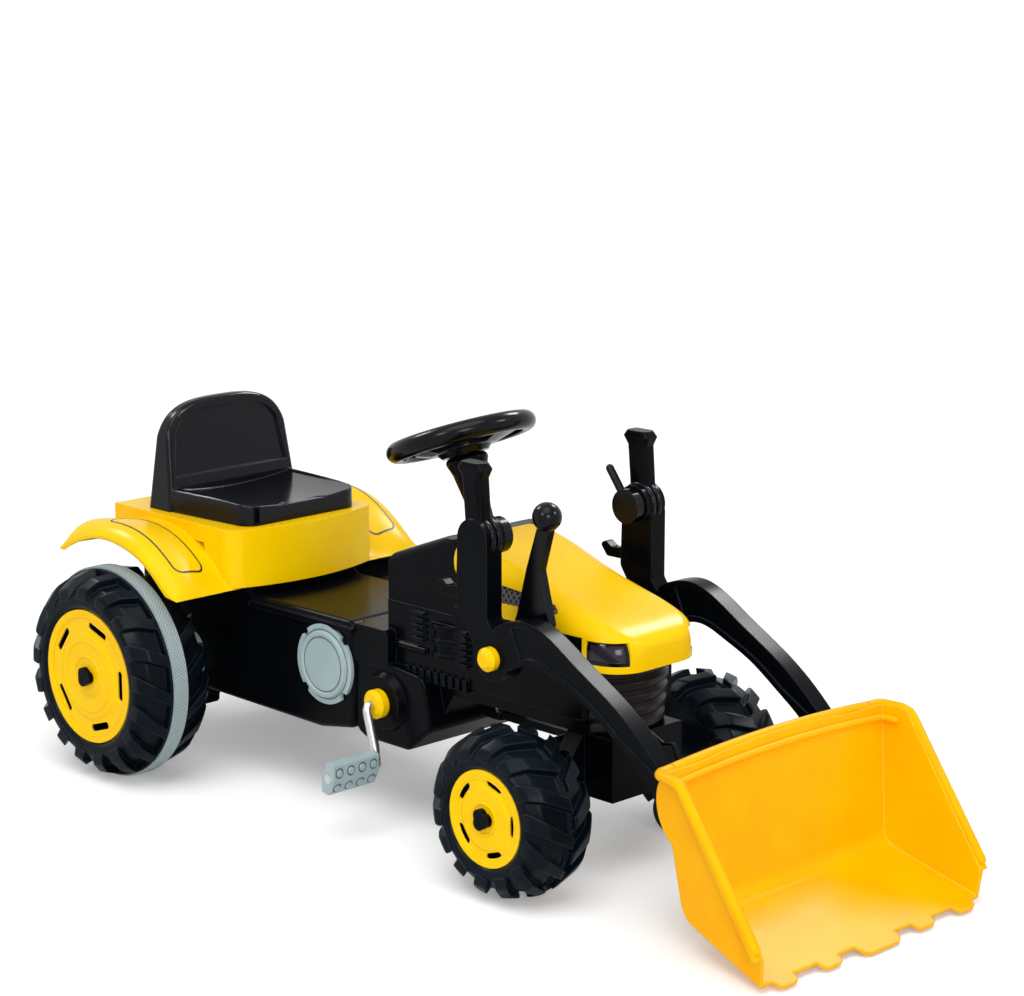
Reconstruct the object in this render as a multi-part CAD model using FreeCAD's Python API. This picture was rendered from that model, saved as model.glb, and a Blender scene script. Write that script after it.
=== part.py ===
import FreeCAD, Part
import math
import os

# Ride-on pedal tractor with a front loader. Millimetres, +X forward, +Y to the driver's left, +Z up.
# The pieces are modelled from the rear axle, and moved back by origin_x when they are written.

Vec = FreeCAD.Vector

# Stance
origin_x = 458.0
wheelbase = 680.0
overrun = 20.0
running_clearance = 0.05
piece_gap = 0.4
corner_limit_share = 0.45
straight_share = 0.99

# Rear wheels
rear_half_track = 260.0
rear_radius = 137.0
rear_lug_radius = 134.5
rear_carcass_radius = 124.0
rear_rim_radius = 87.0
rear_width = 108.0
rear_lug_count = 17
band_width = 21.0
band_place_share = 0.445
tyre_wall = 3.0
tyre_shoulder = 13.0
tyre_corner = 9.0
lug_width = 19.0
lug_sweep_share = 0.62
lug_stagger_share = 0.5
lug_taper_share = 0.72
lug_side_drop = 17.0
lug_proud = 1.6
tread_crown = 7.0
band_rib = 3.0
ridge_width = 3.0
ridge_height = 2.4

# Front wheels
front_half_track = 212.0
front_radius = 100.0
front_carcass_radius = 90.5
front_rim_radius = 57.0
front_width = 92.0
front_lug_count = 14

# Wheel hub discs and axle ends
hub_wall = 4.0
hub_lip = 6.0
hub_lip_depth = 5.0
hub_recess = 3.0
hub_boss_radius_share = 0.62
hub_boss_height = 3.0
hub_slot_count = 5
hub_slot_length_share = 0.44
hub_slot_width = 9.0
hub_slot_place_share = 0.76
sleeve_wall = 5.0
cap_radius = 8.0
cap_spread = 5.0
cap_thickness = 7.0
axle_radius = 8.0
stub_radius = 6.0
cone_reach_share = 0.7394366197
cone_radius_inner = 35.0
cone_radius_outer = 24.0
cone_lip = 4.0
cone_step = 10.0

# Body shell: side outline from the rear axle, floor of the tunnel and rear housing
body_half_width = 90.0
body_wall = 4.0
body_corner = 14.0
body_rear_x = -98.0
body_top_z = 322.0
body_seat_front_x = 112.0
body_front_x = 330.0
tunnel_top_z = 240.0
tunnel_slope = 20.0
body_low_z = 95.0
body_tail_z = 112.0
body_tail_x = -40.0
body_tail_run = 24.0
body_sump_x = 262.0
body_sump_drop = 3.0
body_nose_z = 104.0
tunnel_lip = 5.0
tunnel_lip_height = 7.0
axle_z = rear_radius

# Engine block with crankcase
engine_half_width = 75.0
engine_low_half_width = 62.0
engine_waist_z = 192.0
engine_top_z = 288.0
engine_front_x = 706.0
engine_under_z = 172.0
crankcase_half_width = 88.0
crankcase_front_x = 452.0
crankcase_low_z = 96.0
crankcase_rise_z = 130.0
engine_step_x = 494.0
engine_wall = 5.0
engine_shoulder_z = 276.0
fin_count = 9
fin_depth = 5.0
fin_x = 413.0
fin_z = 187.0
fin_height = 15.0
fin_pitch = 12.5
cylinder_x = 475.0
cylinder_z = 221.0
cylinder_radius = 23.0
cylinder_height = 41.0
cylinder_proud = 7.0
cylinder_collar = 6.0
cylinder_rib_shares = (0.0, 0.43, 0.86)
louvre_pitch = 8.0
louvre_height = 4.0
rear_louvre_count = 5
rear_louvre_x = 424.0
rear_louvre_z = 235.0
rear_louvre_width = 20.0
front_louvre_count = 6
front_louvre_x = 506.0
front_louvre_z = 217.0
front_louvre_width = 14.0
hose_x = 392.0
hose_z = 223.0
hose_length = 54.0
hose_radius = 5.0

# Dash console, instrument plate, steering column
dash_rear_x = 377.0
dash_half_width = 74.0
dash_rear_z = 332.0
dash_front_z = 368.0
dash_front_x = 472.0
dash_corner = 12.0
bonnet_rear_top_x = 492.0
bonnet_rear_low_x = 518.0
plate_thickness = 2.0
plate_half_width = 58.0
plate_length = 64.0
plate_margin = 13.0
plate_corner = 6.0
column_low_radius = 14.0
column_top_radius = 29.0
column_flare_share = 0.55
column_wall_clearance = 0.8

# Steering
steer_tilt = 21.0
wheel_x = 428.0
wheel_z = 473.0
wheel_radius = 93.0
wheel_rim_radius = 12.0
wheel_dish = 16.0
wheel_web = 8.0
wheel_hub_radius = 41.0
wheel_hub_height = 22.0
large_opening_angles = (24, 108)
small_opening_angles = (136, 166)
horn_radius = 31.0
horn_height = 12.0
horn_travel = 3.0
horn_stem_radius = 7.0
horn_stem_length = 9.0
steer_rod_radius = 6.0
steer_arm = 60.0
steer_pin_rise = 13.0
tie_z = 140.0
steer_arm_width = 14.0
steer_arm_thickness = 6.0
tie_radius = 5.0
tie_flat = 9.0
tie_eye_radius = 11.0
tie_pin_radius = 4.0
fork_gap = 1.2
fork_length = 30.0
stem_half = 5.0
fork_wall = 5.0

# Front axle
kingpin_y = 96.0
kingpin_boss_radius = 14.0
kingpin_boss_low = 9.0
kingpin_boss_height = 17.0
arm_room_radius = 21.0
beam_half_width = 58.0
beam_rear_x = 648.0
beam_front_x = 738.0
beam_low_z = 97.0
beam_arm_half = 13.0

# Bonnet, grille, headlights
bonnet_low_z = 290.0
bonnet_nose_low_z = 253.0
bonnet_skirt_x = 706.0
bonnet_wall = 3.5
bonnet_half_width = 79.0
bonnet_nose_x = 761.0
bonnet_rear_top_z = 368.0
bonnet_edge = 30.0
bonnet_section_shares = ((0.0, 1.0, 1.0, 1.0), (0.38, 1.0, 0.79, 1.05), (0.72, 0.985, 0.56, 1.1),
                         (0.86, 0.95, 0.455, 1.05), (0.94, 0.84, 0.38, 0.95), (0.985, 0.64, 0.3, 0.7),
                         (1.0, 0.4, 0.22, 0.4))
lamp_rear_x = 712.0
lamp_inner_y = 50.0
lamp_low_z = 261.0
lamp_high_z = 288.0
vent_inset = 1.2
vent_low_z = 308.0
vent_high_z = 336.0
vent_rear_x = 532.0
vent_front_x = 668.0
vent_lean = 14.0
grille_half_width = 70.0
grille_depth = 34.0
grille_band_count = 5
grille_edge = 5.0
grille_taper_share = 0.87

# Mudguard moulding
guard_wall = 5.0
guard_half_width = 208.0
guard_rear_x = -118.0
guard_front_x = 131.0
guard_top_z = 325.0
guard_low_z = 250.0
platform_half_width = 121.0
platform_top_z = 327.0
seat_platform_rear_x = -112.0
seat_platform_front_x = 130.0
apron_bulge = 26.0
apron_low_z = 252.0
apron_corner = 26.0
guard_corner = 18.0
guard_shoulder_shares = (1.0, 0.96, 0.86, 0.495)
wing_edge_shares = ((0, 0.38), (0.1, 0.56), (0.2, 0.69), (0.32, 0.79), (0.47, 0.8), (0.59, 0.73),
                    (0.7, 0.61), (0.85, 0.29), (0.94, 0.07), (1, 0))
wing_top_shares = ((0, 0.45), (0.035, 0.7), (0.12, 0.88), (0.29, 0.985), (0.47, 1), (0.59, 0.94),
                   (0.7, 0.81), (0.85, 0.5), (0.94, 0.25), (1, 0))
wing_rise_shares = (0, 0.6, 1, 1)
lens_half_width = 25.0
lens_half_height = 13.0
lens_proud = 3.0
lens_depth = 8.0
lens_y = 162.0
lens_x = -109.5
lens_z = 299.5
lens_lean = 47.0

# Seat
seat_half_width = 107.0
seat_rear_x = -58.0
seat_front_x = 132.0
seat_gap = 0.4
seat_edge = 30.0
seat_back_top = 141.0
seat_back_foot = 46.0
seat_back_head = 16.0
seat_pan_dip = 9.0
seat_rim = 14.0
seat_back_edge = 6.0
seat_panel_depth = 4.0
seat_corner = 22.0
seat_shoulder_share = 0.93
seat_spring_share = 0.67
seat_knee_shares = (0.84, 0.6)
seat_slide = 30.0
bolt_radius = 5.0
bolt_head_radius = 9.0
bolt_head = 6.0
bolt_spread = 60.0
bolt_y = 50.0
slot_clearance = 0.6

# Round covers on the body sides
cover_x = 279.0
cover_z = 178.0
cover_radius = 51.0
cover_thickness = 9.0
cover_flange = 5.0
cover_step = 8.0
cover_ring = 6.0
cover_groove = 1.5
cover_notch = 12.0
cover_notch_count = 4

# Pedal crank
crank_x = 386.0
crank_z = 151.0
crank_rod_radius = 6.0
crank_bend = 7.0
crank_arm_x = 20.0
crank_arm_drop = 69.0
crank_boss_radius = 38.0
crank_boss_height = 10.0
crank_hub_radius = 18.0
crank_hub_length = 14.0
crank_arm_y = 120.0
crank_hub_step_share = 0.7
pedal_inner_y = 128.0
pedal_length = 72.0
pedal_width = 40.0
pedal_thickness = 22.0
pedal_edge_share = 0.6
pedal_corner = 3.0
pedal_lean = 104.5
stud_radius = 4.2
stud_height = 1.6
stud_row_count = 4
sprocket_crank_teeth = 16
sprocket_rear_teeth = 12
chain_pitch = 12.7
chain_width = 8.0
chain_height = 8.0
sprocket_thickness = 3.0
tooth_height = 3.0
sprocket_hub_wall = 8.0
tooth_outline_shares = ((-0.34, 0.0), (-0.13, 1.0), (0.13, 1.0), (0.34, 0.0))

# Hitch
hitch_lug_count = 3
hitch_lug_radius = 17.0
hitch_lug_height = 11.0
hitch_lug_pitch = 32.0
hitch_low_z = 34.0
hitch_pin_x = -150.0
hitch_pin_radius = 5.0
hitch_top_half = 70.0
hitch_plate = 24.0
loop_length = 46.0
loop_height = 24.0
loop_rod_radius = 5.0
pin_collar = 8.0
pin_collar_radius = 8.5
loop_bar = 7.0

# Loader
pivot_x = 634.0
pivot_z = 266.0
loader_shaft_radius = 8.0
arm_inner_y = 125.0
arm_thickness = 24.0
arm_reach = 271.0
arm_drop = 117.0
arm_rise = 132.0
upright_set_back = 32.0
knuckle_radius = 27.0
hinge_knuckle_radius = 22.0
arm_border = 7.0
arm_recess = 2.0
blind_wall = 6.0
boom_top_shares = ((-0.01, 0.15), (0.022, 0.315), (0.103, 0.406), (0.207, 0.44), (0.303, 0.38),
                   (0.465, 0.167),
                   (0.668, -0.103), (0.838, -0.385), (0.974, -0.684), (1.055, -0.88))
boom_low_shares = ((0.935, -0.95), (0.841, -0.7), (0.705, -0.466), (0.546, -0.222), (0.391, -0.06),
                   (0.251, 0.034), (0.177, 0.0), (0.055, -0.15))
hook_shares = ((-0.18, 0.5), (-0.32, 0.5), (-0.36, 0.62), (-0.33, 0.66), (-0.29, 0.6), (-0.18, 0.64))
upright_neck_share = 0.33
upright_waist_share = 0.4
upright_waist_swell_share = 1.1
upright_foot_share = 0.85
upright_hub_radius = 24.0
upright_hub_inner = 7.0
grip_height = 88.0
grip_width = 34.0
grip_thickness = 22.0
grip_head_flare = 7.0
grip_level_shares = ((0.0, 1.0, 1.0), (0.25, 0.84, 0.9), (0.8, 0.86, 0.9), (0.92, 1.2, 1.0),
                     (1.0, 0.9, 0.86))
stick_length = 52.0
stick_lean = 37.0
stick_radius = 5.0
stick_disc_radius = 21.0
stick_disc_thickness = 14.0
stick_pin_radius = 6.0
knob_radius = 14.0
knob_height = 14.0
knob_step_share = 0.6
spacer_radius = 16.0
cross_tube_radius = 11.0
lever_y = 105.0
lever_thickness = 11.0
lever_rise = 164.0
lever_lean = 44.0
lever_bar_half = 9.0
lever_bar_foot_share = 1.15
lever_corner = 6.0
lever_foot_shares = ((0.04, 0.28), (1.23, 0.24))
lever_neck_share = 0.62
lever_peg_radius = 4.5
ball_radius = 17.0
link_pin_x = 15.0
link_pin_z = 36.0
link_pin_radius = 4.0
link_bar_share = 0.48
link_bar_height = 14.0
link_thickness = 6.0
link_wire_radius = 2.6
link_wire_bend = 4.0
link_zigzag = 9.0
link_zigzag_shares = ((0.8, 0.0), (0.84, 1.0), (0.89, -0.5))
link_bar_taper_share = 0.7

# Bucket: side outline from the bucket hinge
bucket_mouth_half = 192.0
bucket_side_slope_share = 0.2
bucket_wall = 4.0
bucket_top_x = 23.0
bucket_top_z = 58.0
bucket_heel_x = 44.0
bucket_heel_z = -101.0
bucket_lip_x = 166.0
bucket_lip_z = -141.0
bucket_mouth_top_x = 58.0
bucket_mouth_top_z = 56.0
bucket_mouth_low_x = 169.0
bucket_mouth_low_z = -108.0
bucket_heel_radius = 26.0
bucket_rim = 8.0
bucket_rim_thickness = 6.0
bucket_rim_corner = 16.0
bucket_crown_rise = 7.0
bucket_ear_shares = ((0.55, 0.94), (0.26, 0.42), (1.08, -0.48))
tooth_small_width = 40.0
tooth_wide_width = 76.0
tooth_small_length = 12.0
tooth_wide_length = 16.0
tooth_round_share = 0.7
tooth_place_shares = (-0.8, -0.42, 0.0, 0.42, 0.8)
bucket_lug_thickness = 12.0
bucket_lug_y = 88.0
bucket_lug_radius = 17.0
bucket_lug_flare = 8.0

pieces = {}


# Helpers for outlines and simple solids

def corner_wire(points, radius=0.0, sharp=(), closed=True):
    """Wire through the points, with each corner rounded as far as its edges allow."""
    count = len(points)
    corners = []
    for i in range(count):
        here = points[i]
        to_before = points[i - 1] - here
        to_after = points[(i + 1) % count] - here
        half = to_before.getAngle(to_after) / 2
        at_end = not closed and i in (0, count - 1)
        if at_end or i in sharp or radius <= 0.0 or half > straight_share * math.pi / 2:
            corners.append((here, None, here))
            continue
        room = corner_limit_share * min(to_before.Length, to_after.Length)
        reach = min(room, radius / math.tan(half))
        bend = reach * math.tan(half)
        enter = here + to_before.normalize() * reach
        leave = here + to_after.normalize() * reach
        inside = (to_before + to_after).normalize()
        middle = here + inside * (bend / math.sin(half) - bend)
        corners.append((enter, middle, leave))
    edges = []
    for i in range(count):
        enter, middle, leave = corners[i]
        if middle is not None:
            edges.append(Part.Arc(enter, middle, leave).toShape())
        following = corners[(i + 1) % count][0]
        if (closed or i < count - 1) and leave.distanceToPoint(following) > 0.0:
            edges.append(Part.LineSegment(leave, following).toShape())
    return Part.Wire(edges)


def slab_xz(points, y_from, y_to, radius=0.0, sharp=()):
    """Side outline, given as (x, z) points, made solid from one y to another."""
    wire = corner_wire([Vec(x, y_from, z) for x, z in points], radius, sharp)
    return Part.Face(wire).extrude(Vec(0, y_to - y_from, 0))


def slab_yz(points, x_from, x_to, radius=0.0):
    """Front outline, given as (y, z) points, made solid from one x to another."""
    wire = corner_wire([Vec(x_from, y, z) for y, z in points], radius)
    return Part.Face(wire).extrude(Vec(x_to - x_from, 0, 0))


def slab_xy(points, z_from, z_to, radius=0.0):
    """Plan outline, given as (x, y) points, made solid from one z to another."""
    wire = corner_wire([Vec(x, y, z_from) for x, y in points], radius)
    return Part.Face(wire).extrude(Vec(0, 0, z_to - z_from))


def block(x_from, x_to, y_from, y_to, z_from, z_to):
    """Plain cutter or block between two corners."""
    return Part.makeBox(x_to - x_from, y_to - y_from, z_to - z_from, Vec(x_from, y_from, z_from))


def rod(start, end, radius):
    """Round bar between two points."""
    return Part.makeCylinder(radius, start.distanceToPoint(end), start, end - start)


def rod_y(x, z, radius, y_from, y_to):
    """Round bar along Y."""
    return rod(Vec(x, y_from, z), Vec(x, y_to, z), radius)


def rod_z(x, y, radius, z_from, z_to):
    """Round bar along Z."""
    return rod(Vec(x, y, z_from), Vec(x, y, z_to), radius)


def bent_rod(points, radius, bend):
    """Round bar swept through the points, with rounded bends."""
    path = corner_wire(points, bend, closed=False)
    ring = Part.Circle(points[0], points[1] - points[0], radius)
    return path.makePipeShell([Part.Wire(ring.toShape())], True, False)


def spin_y(profile, x=0.0, z=0.0, radius=0.0):
    """Solid of revolution about a Y axis, from (radius, y) points."""
    on_axis = [i for i, point in enumerate(profile) if point[0] == 0.0]
    wire = corner_wire([Vec(r, y, 0) for r, y in profile], radius, on_axis)
    turned = Part.Face(wire).revolve(Vec(0, 0, 0), Vec(0, 1, 0), 360)
    turned.translate(Vec(x, 0, z))
    return turned


def join(solids):
    """One solid from several that touch or overlap."""
    if len(solids) == 1:
        return solids[0]
    return solids[0].multiFuse(solids[1:]).removeSplitter()


def cut(solid, cutters):
    """The solid without the cutters."""
    return solid.cut(cutters)


def other_side(shape):
    """The mirrored copy across the middle plane."""
    return shape.mirror(Vec(0, 0, 0), Vec(0, 1, 0))


def pair(shape):
    """The left piece and its mirrored right one, as separate solids of one node."""
    return Part.makeCompound([shape, other_side(shape)])


def edges_along(shape, axis, least):
    """Edges longer than least that run along one axis."""
    found = []
    for edge in shape.Edges:
        ends = [vertex.Point for vertex in edge.Vertexes]
        if len(ends) == 2 and edge.Length > least:
            way = ends[1] - ends[0]
            if way.Length > 0.0 and abs(way.normalize().dot(axis)) > straight_share:
                found.append(edge)
    return found


# Wheels

def tyre_section(carcass, rim, half, flat_from, flat_to, inset):
    """Closed section of the crowned tyre wall, as (radius, y) points, inset from the outside."""
    low = carcass - tread_crown
    return [(rim + inset, -half + inset),
            (low - tyre_shoulder, -half + inset),
            (low - inset, -half + tyre_shoulder),
            (carcass - inset, flat_from),
            (carcass - inset, flat_to),
            (low - inset, half - tyre_shoulder),
            (low - tyre_shoulder, half - inset),
            (rim + inset, half - inset)]


def lug(angle, carcass, tip, y_in, y_out):
    """One slanted bar of the tread, from the middle of the tread round the shoulder."""
    sweep = lug_sweep_share * abs(y_out - y_in)
    wide = lug_width / 2
    narrow = lug_taper_share * wide
    foot = carcass - tread_crown - lug_side_drop
    corners = [Vec(foot, y_in, -narrow), Vec(foot, y_in, narrow),
               Vec(foot, y_out, sweep + wide), Vec(foot, y_out, sweep - wide)]
    bar = Part.Face(corner_wire(corners)).extrude(Vec(tip - foot, 0, 0))
    bar.translate(Vec(0, 0, -sweep / 2))
    bar.rotate(Vec(0, 0, 0), Vec(0, 1, 0), angle)
    return bar


def tyre(carcass, tip, rim, width, count, gap_from, gap_to, axle):
    """Hollow lugged tyre with its inner web and axle sleeve; +Y is the outside of the wheel."""
    half = width / 2
    flat_from = gap_from - band_rib
    flat_to = gap_to + band_rib
    wall = spin_y(tyre_section(carcass, rim, half, flat_from, flat_to, 0.0), radius=tyre_corner)
    hollow = spin_y(tyre_section(carcass, rim, half, flat_from, flat_to, tyre_wall))
    step = 360.0 / count
    lugs = []
    for i in range(count):
        lugs.append(lug(i * step, carcass, tip, gap_to, half + lug_proud))
        lugs.append(lug((i + lug_stagger_share) * step, carcass, tip, gap_from, -half - lug_proud))
    low = tip - tread_crown
    envelope = [(rim, -half - lug_proud), (low - tyre_shoulder, -half - lug_proud),
                (low, -half + tyre_shoulder), (tip, flat_from), (tip, flat_to), (low, half - tyre_shoulder),
                (low - tyre_shoulder, half + lug_proud), (rim, half + lug_proud)]
    shaped = spin_y(envelope, radius=tyre_corner).common(Part.makeCompound(lugs))
    web = spin_y([(axle, -half + hub_recess), (rim + tyre_wall / 2, -half + hub_recess),
                  (rim + tyre_wall / 2, -half + hub_recess + hub_wall),
                  (axle + sleeve_wall, -half + hub_recess + hub_wall),
                  (axle + sleeve_wall, half - hub_recess - hub_wall - hub_boss_height - piece_gap),
                  (axle, half - hub_recess - hub_wall - hub_boss_height - piece_gap)])
    return wall.multiFuse(shaped.Solids + [web]).cut(hollow)


def hub_disc(rim, half, axle):
    """Dished yellow hub disc with a lip, a raised middle and five slots."""
    face = half - hub_recess
    back = face - hub_wall
    boss = hub_boss_radius_share * rim
    outer = rim - piece_gap
    disc = spin_y([(axle, back - hub_boss_height), (boss - hub_wall, back - hub_boss_height),
                   (boss, back), (outer, back - hub_lip_depth + hub_wall),
                   (outer, face), (outer - hub_lip, face), (outer - hub_lip - hub_wall, face - hub_wall / 2),
                   (boss + hub_wall, face - hub_wall / 2), (boss, face), (axle, face)])
    length = hub_slot_length_share * rim
    place = hub_slot_place_share * rim
    slots = []
    for i in range(hub_slot_count):
        slot = slab_xz([(place - hub_slot_width / 2, -length / 2), (place + hub_slot_width / 2, -length / 2),
                        (place + hub_slot_width / 2, length / 2), (place - hub_slot_width / 2, length / 2)],
                       back - overrun, face + overrun, hub_slot_width / 2)
        slot.rotate(Vec(0, 0, 0), Vec(0, 1, 0), i * 360.0 / hub_slot_count)
        slots.append(slot)
    return disc.cut(slots)


def axle_cap(axle, face, depth):
    """Three-lobed black cap pushed on the axle end."""
    lobes = [rod_y(cap_spread * math.cos(i * math.tau / 3), cap_spread * math.sin(i * math.tau / 3),
                   cap_radius, face, face + cap_thickness) for i in range(3)]
    middle = rod_y(0, 0, axle + cap_spread / 2, face, face + cap_thickness)
    return join(lobes + [middle]).cut(rod_y(0, 0, axle + running_clearance, face - overrun, face + depth))


def placed(shape, x, y, z):
    """Copy of a shape moved to its place."""
    moved = shape.copy()
    moved.translate(Vec(x, y, z))
    return moved


def build_rear_wheels():
    half = rear_width / 2
    band_middle = half - band_place_share * rear_width
    gap_from = band_middle - band_width / 2 - piece_gap
    gap_to = band_middle + band_width / 2 + piece_gap
    bore = axle_radius + running_clearance
    wheel_y = rear_half_track - half - cap_thickness / 2
    wheel = tyre(rear_carcass_radius, rear_lug_radius, rear_rim_radius, rear_width,
                 rear_lug_count, gap_from, gap_to, bore)
    base = rear_carcass_radius - tyre_wall / 2
    ribs = [spin_y([(base, start), (rear_lug_radius, start), (rear_lug_radius, start + band_rib),
                    (base, start + band_rib)]) for start in (gap_from - band_rib, gap_to)]
    wheel = wheel.fuse(ribs[0]).fuse(ribs[1])
    band = spin_y([(rear_carcass_radius + piece_gap, gap_from + piece_gap),
                   (rear_radius, gap_from + piece_gap),
                   (rear_radius, gap_to - piece_gap), (rear_carcass_radius + piece_gap, gap_to - piece_gap)])
    disc = hub_disc(rear_rim_radius, half, bore)
    for side, name in ((1, "left"), (-1, "right")):
        for kind, shape in (("tyre", wheel), ("band", band), ("hub", disc)):
            turned = shape if side > 0 else other_side(shape)
            pieces["rear_" + kind + "_" + name] = placed(turned, 0, side * wheel_y, axle_z)
    face = wheel_y + half - hub_recess + piece_gap
    pieces["rear_axle"] = rod_y(0, axle_z, axle_radius, -face - cap_thickness / 2, face + cap_thickness / 2)
    cap = placed(axle_cap(axle_radius, face, cap_thickness / 2), 0, 0, axle_z)
    pieces["rear_axle_caps"] = pair(cap)


def build_front_wheels():
    half = front_width / 2
    bore = stub_radius + running_clearance
    wheel_y = front_half_track - half - cap_thickness / 2
    wheel = tyre(front_carcass_radius, front_radius, front_rim_radius, front_width, front_lug_count,
                 -ridge_width / 2, ridge_width / 2, bore)
    ridge = spin_y([(front_carcass_radius - tyre_wall / 2, -ridge_width / 2),
                    (front_carcass_radius + ridge_height, -ridge_width / 2),
                    (front_carcass_radius + ridge_height, ridge_width / 2),
                    (front_carcass_radius - tyre_wall / 2, ridge_width / 2)])
    wheel = wheel.fuse(ridge)
    disc = hub_disc(front_rim_radius, half, bore)
    face = wheel_y + half - hub_recess + piece_gap
    cap = axle_cap(stub_radius, face, cap_thickness / 2)
    for side, name in ((1, "left"), (-1, "right")):
        for kind, shape in (("tyre", wheel), ("hub", disc)):
            turned = shape if side > 0 else other_side(shape)
            pieces["front_" + kind + "_" + name] = placed(turned, wheelbase, side * wheel_y, front_radius)
        turned = cap if side > 0 else other_side(cap)
        pieces["front_cap_" + name] = placed(turned, wheelbase, 0, front_radius)
    build_stub_axles(face + cap_thickness / 2)


# Front axle and steering

def steer_axis():
    """Unit vector up the steering shaft, which leans back towards the driver."""
    tilt = math.radians(steer_tilt)
    return Vec(-math.sin(tilt), 0, math.cos(tilt))


def steer_forward():
    """Unit vector square to the steering shaft, pointing ahead."""
    tilt = math.radians(steer_tilt)
    return Vec(math.cos(tilt), 0, math.sin(tilt))


def steer_point(z):
    """Point of the steering axis at a height."""
    return Vec(wheel_x, 0, wheel_z) + steer_axis() * ((z - wheel_z) / steer_axis().z)


def steer_foot():
    """Foot of the steering axis, level with the drop arm that points back and down from it."""
    return steer_point(tie_z + steer_arm * math.sin(math.radians(steer_tilt)))


def drop_pin():
    """Where the drop arm's pin meets the tie rod's stem."""
    return steer_foot() - steer_forward() * steer_arm


def build_stub_axles(end_y):
    """Bent steel stubs: an upright kingpin, the wheel's spindle and the steering arm to the rear."""
    arm_top = tie_z - tie_radius - piece_gap
    arm_low = arm_top - steer_arm_thickness
    rear_x = wheelbase - steer_arm
    pin = rod_z(wheelbase, kingpin_y, stub_radius, front_radius, arm_top)
    spindle = rod_y(wheelbase, front_radius, stub_radius, kingpin_y, end_y)
    corner = Part.makeSphere(stub_radius, Vec(wheelbase, kingpin_y, front_radius))
    half = steer_arm_width / 2
    arm = slab_xy([(rear_x - half, kingpin_y - half), (wheelbase + half, kingpin_y - half),
                   (wheelbase + half, kingpin_y + half), (rear_x - half, kingpin_y + half)],
                  arm_low, arm_top, half)
    stud = rod_z(rear_x, kingpin_y, tie_pin_radius, arm_low, tie_z + tie_radius)
    stub = join([pin, spindle, corner, arm, stud])
    pieces["stub_axle_left"] = stub
    pieces["stub_axle_right"] = other_side(stub)


def build_front_axle():
    """Axle beam under the engine block, with an eye for each kingpin."""
    eye_low = front_radius + kingpin_boss_low
    eye_top = eye_low + kingpin_boss_height
    pedestal = slab_xz([(beam_rear_x, engine_under_z), (beam_rear_x, eye_top), (beam_front_x, beam_low_z),
                        (beam_front_x, engine_under_z)], -beam_half_width, beam_half_width)
    nose = slab_xz([(wheelbase + kingpin_boss_radius, beam_low_z), (beam_front_x, beam_low_z),
                    (beam_front_x, engine_under_z), (wheelbase + kingpin_boss_radius, engine_under_z)],
                   -beam_half_width, beam_half_width)
    arms = slab_yz([(-kingpin_y, eye_low), (kingpin_y, eye_low), (kingpin_y, eye_top),
                    (beam_half_width, engine_under_z), (-beam_half_width, engine_under_z),
                    (-kingpin_y, eye_top)],
                   wheelbase - beam_arm_half, wheelbase + beam_arm_half)
    eyes = [rod_z(wheelbase, side * kingpin_y, kingpin_boss_radius, eye_low, eye_top) for side in (1, -1)]
    beam = join([pedestal, nose, arms] + eyes)
    bores = [rod_z(wheelbase, side * kingpin_y, stub_radius + running_clearance, eye_low - overrun,
                   eye_top + overrun)
             for side in (1, -1)]
    # Room for the steering arms, which lie above the eyes
    room = [rod_z(wheelbase, side * kingpin_y, arm_room_radius, eye_top, engine_under_z + overrun)
            for side in (1, -1)]
    tie_room = block(wheelbase - steer_arm - overrun, wheelbase - beam_arm_half - piece_gap,
                     -kingpin_y, kingpin_y, beam_low_z - overrun, engine_under_z + overrun)
    pieces["front_axle_beam"] = beam.cut(bores + room + [tie_room])


def build_tie_rod():
    """Rod between the steering arms, with a stem back to the drop arm's pin; it moves sideways only."""
    tie_x = wheelbase - steer_arm
    pin_x = drop_pin().x
    low = tie_z - tie_flat / 2
    high = tie_z + tie_flat / 2
    bar = rod_y(tie_x, tie_z, tie_radius, -kingpin_y, kingpin_y)
    eyes = [rod_z(tie_x, side * kingpin_y, tie_eye_radius, low, high) for side in (1, -1)]
    gap = tie_pin_radius + fork_gap
    outer = gap + fork_wall
    stem = slab_xy([(pin_x, -stem_half), (tie_x, -stem_half), (tie_x, stem_half), (pin_x, stem_half)], low,
                   high)
    plate = slab_xy([(pin_x - fork_length / 2, -outer), (pin_x + fork_length / 2, -outer),
                     (pin_x + fork_length / 2, outer), (pin_x - fork_length / 2, outer)], low, high,
                     fork_wall)
    reach = fork_length / 2 - fork_wall
    slot = slab_xy([(pin_x - reach, -gap), (pin_x + reach, -gap), (pin_x + reach, gap),
                    (pin_x - reach, gap)],
                   low - overrun, high + overrun, gap)
    holes = [rod_z(tie_x, kingpin_y, tie_pin_radius + fork_gap, low - overrun, high + overrun),
             rod_z(tie_x, -kingpin_y, tie_pin_radius + running_clearance, low - overrun, high + overrun)]
    pieces["tie_rod"] = join([bar, stem, plate] + eyes).cut([slot] + holes)


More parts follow.
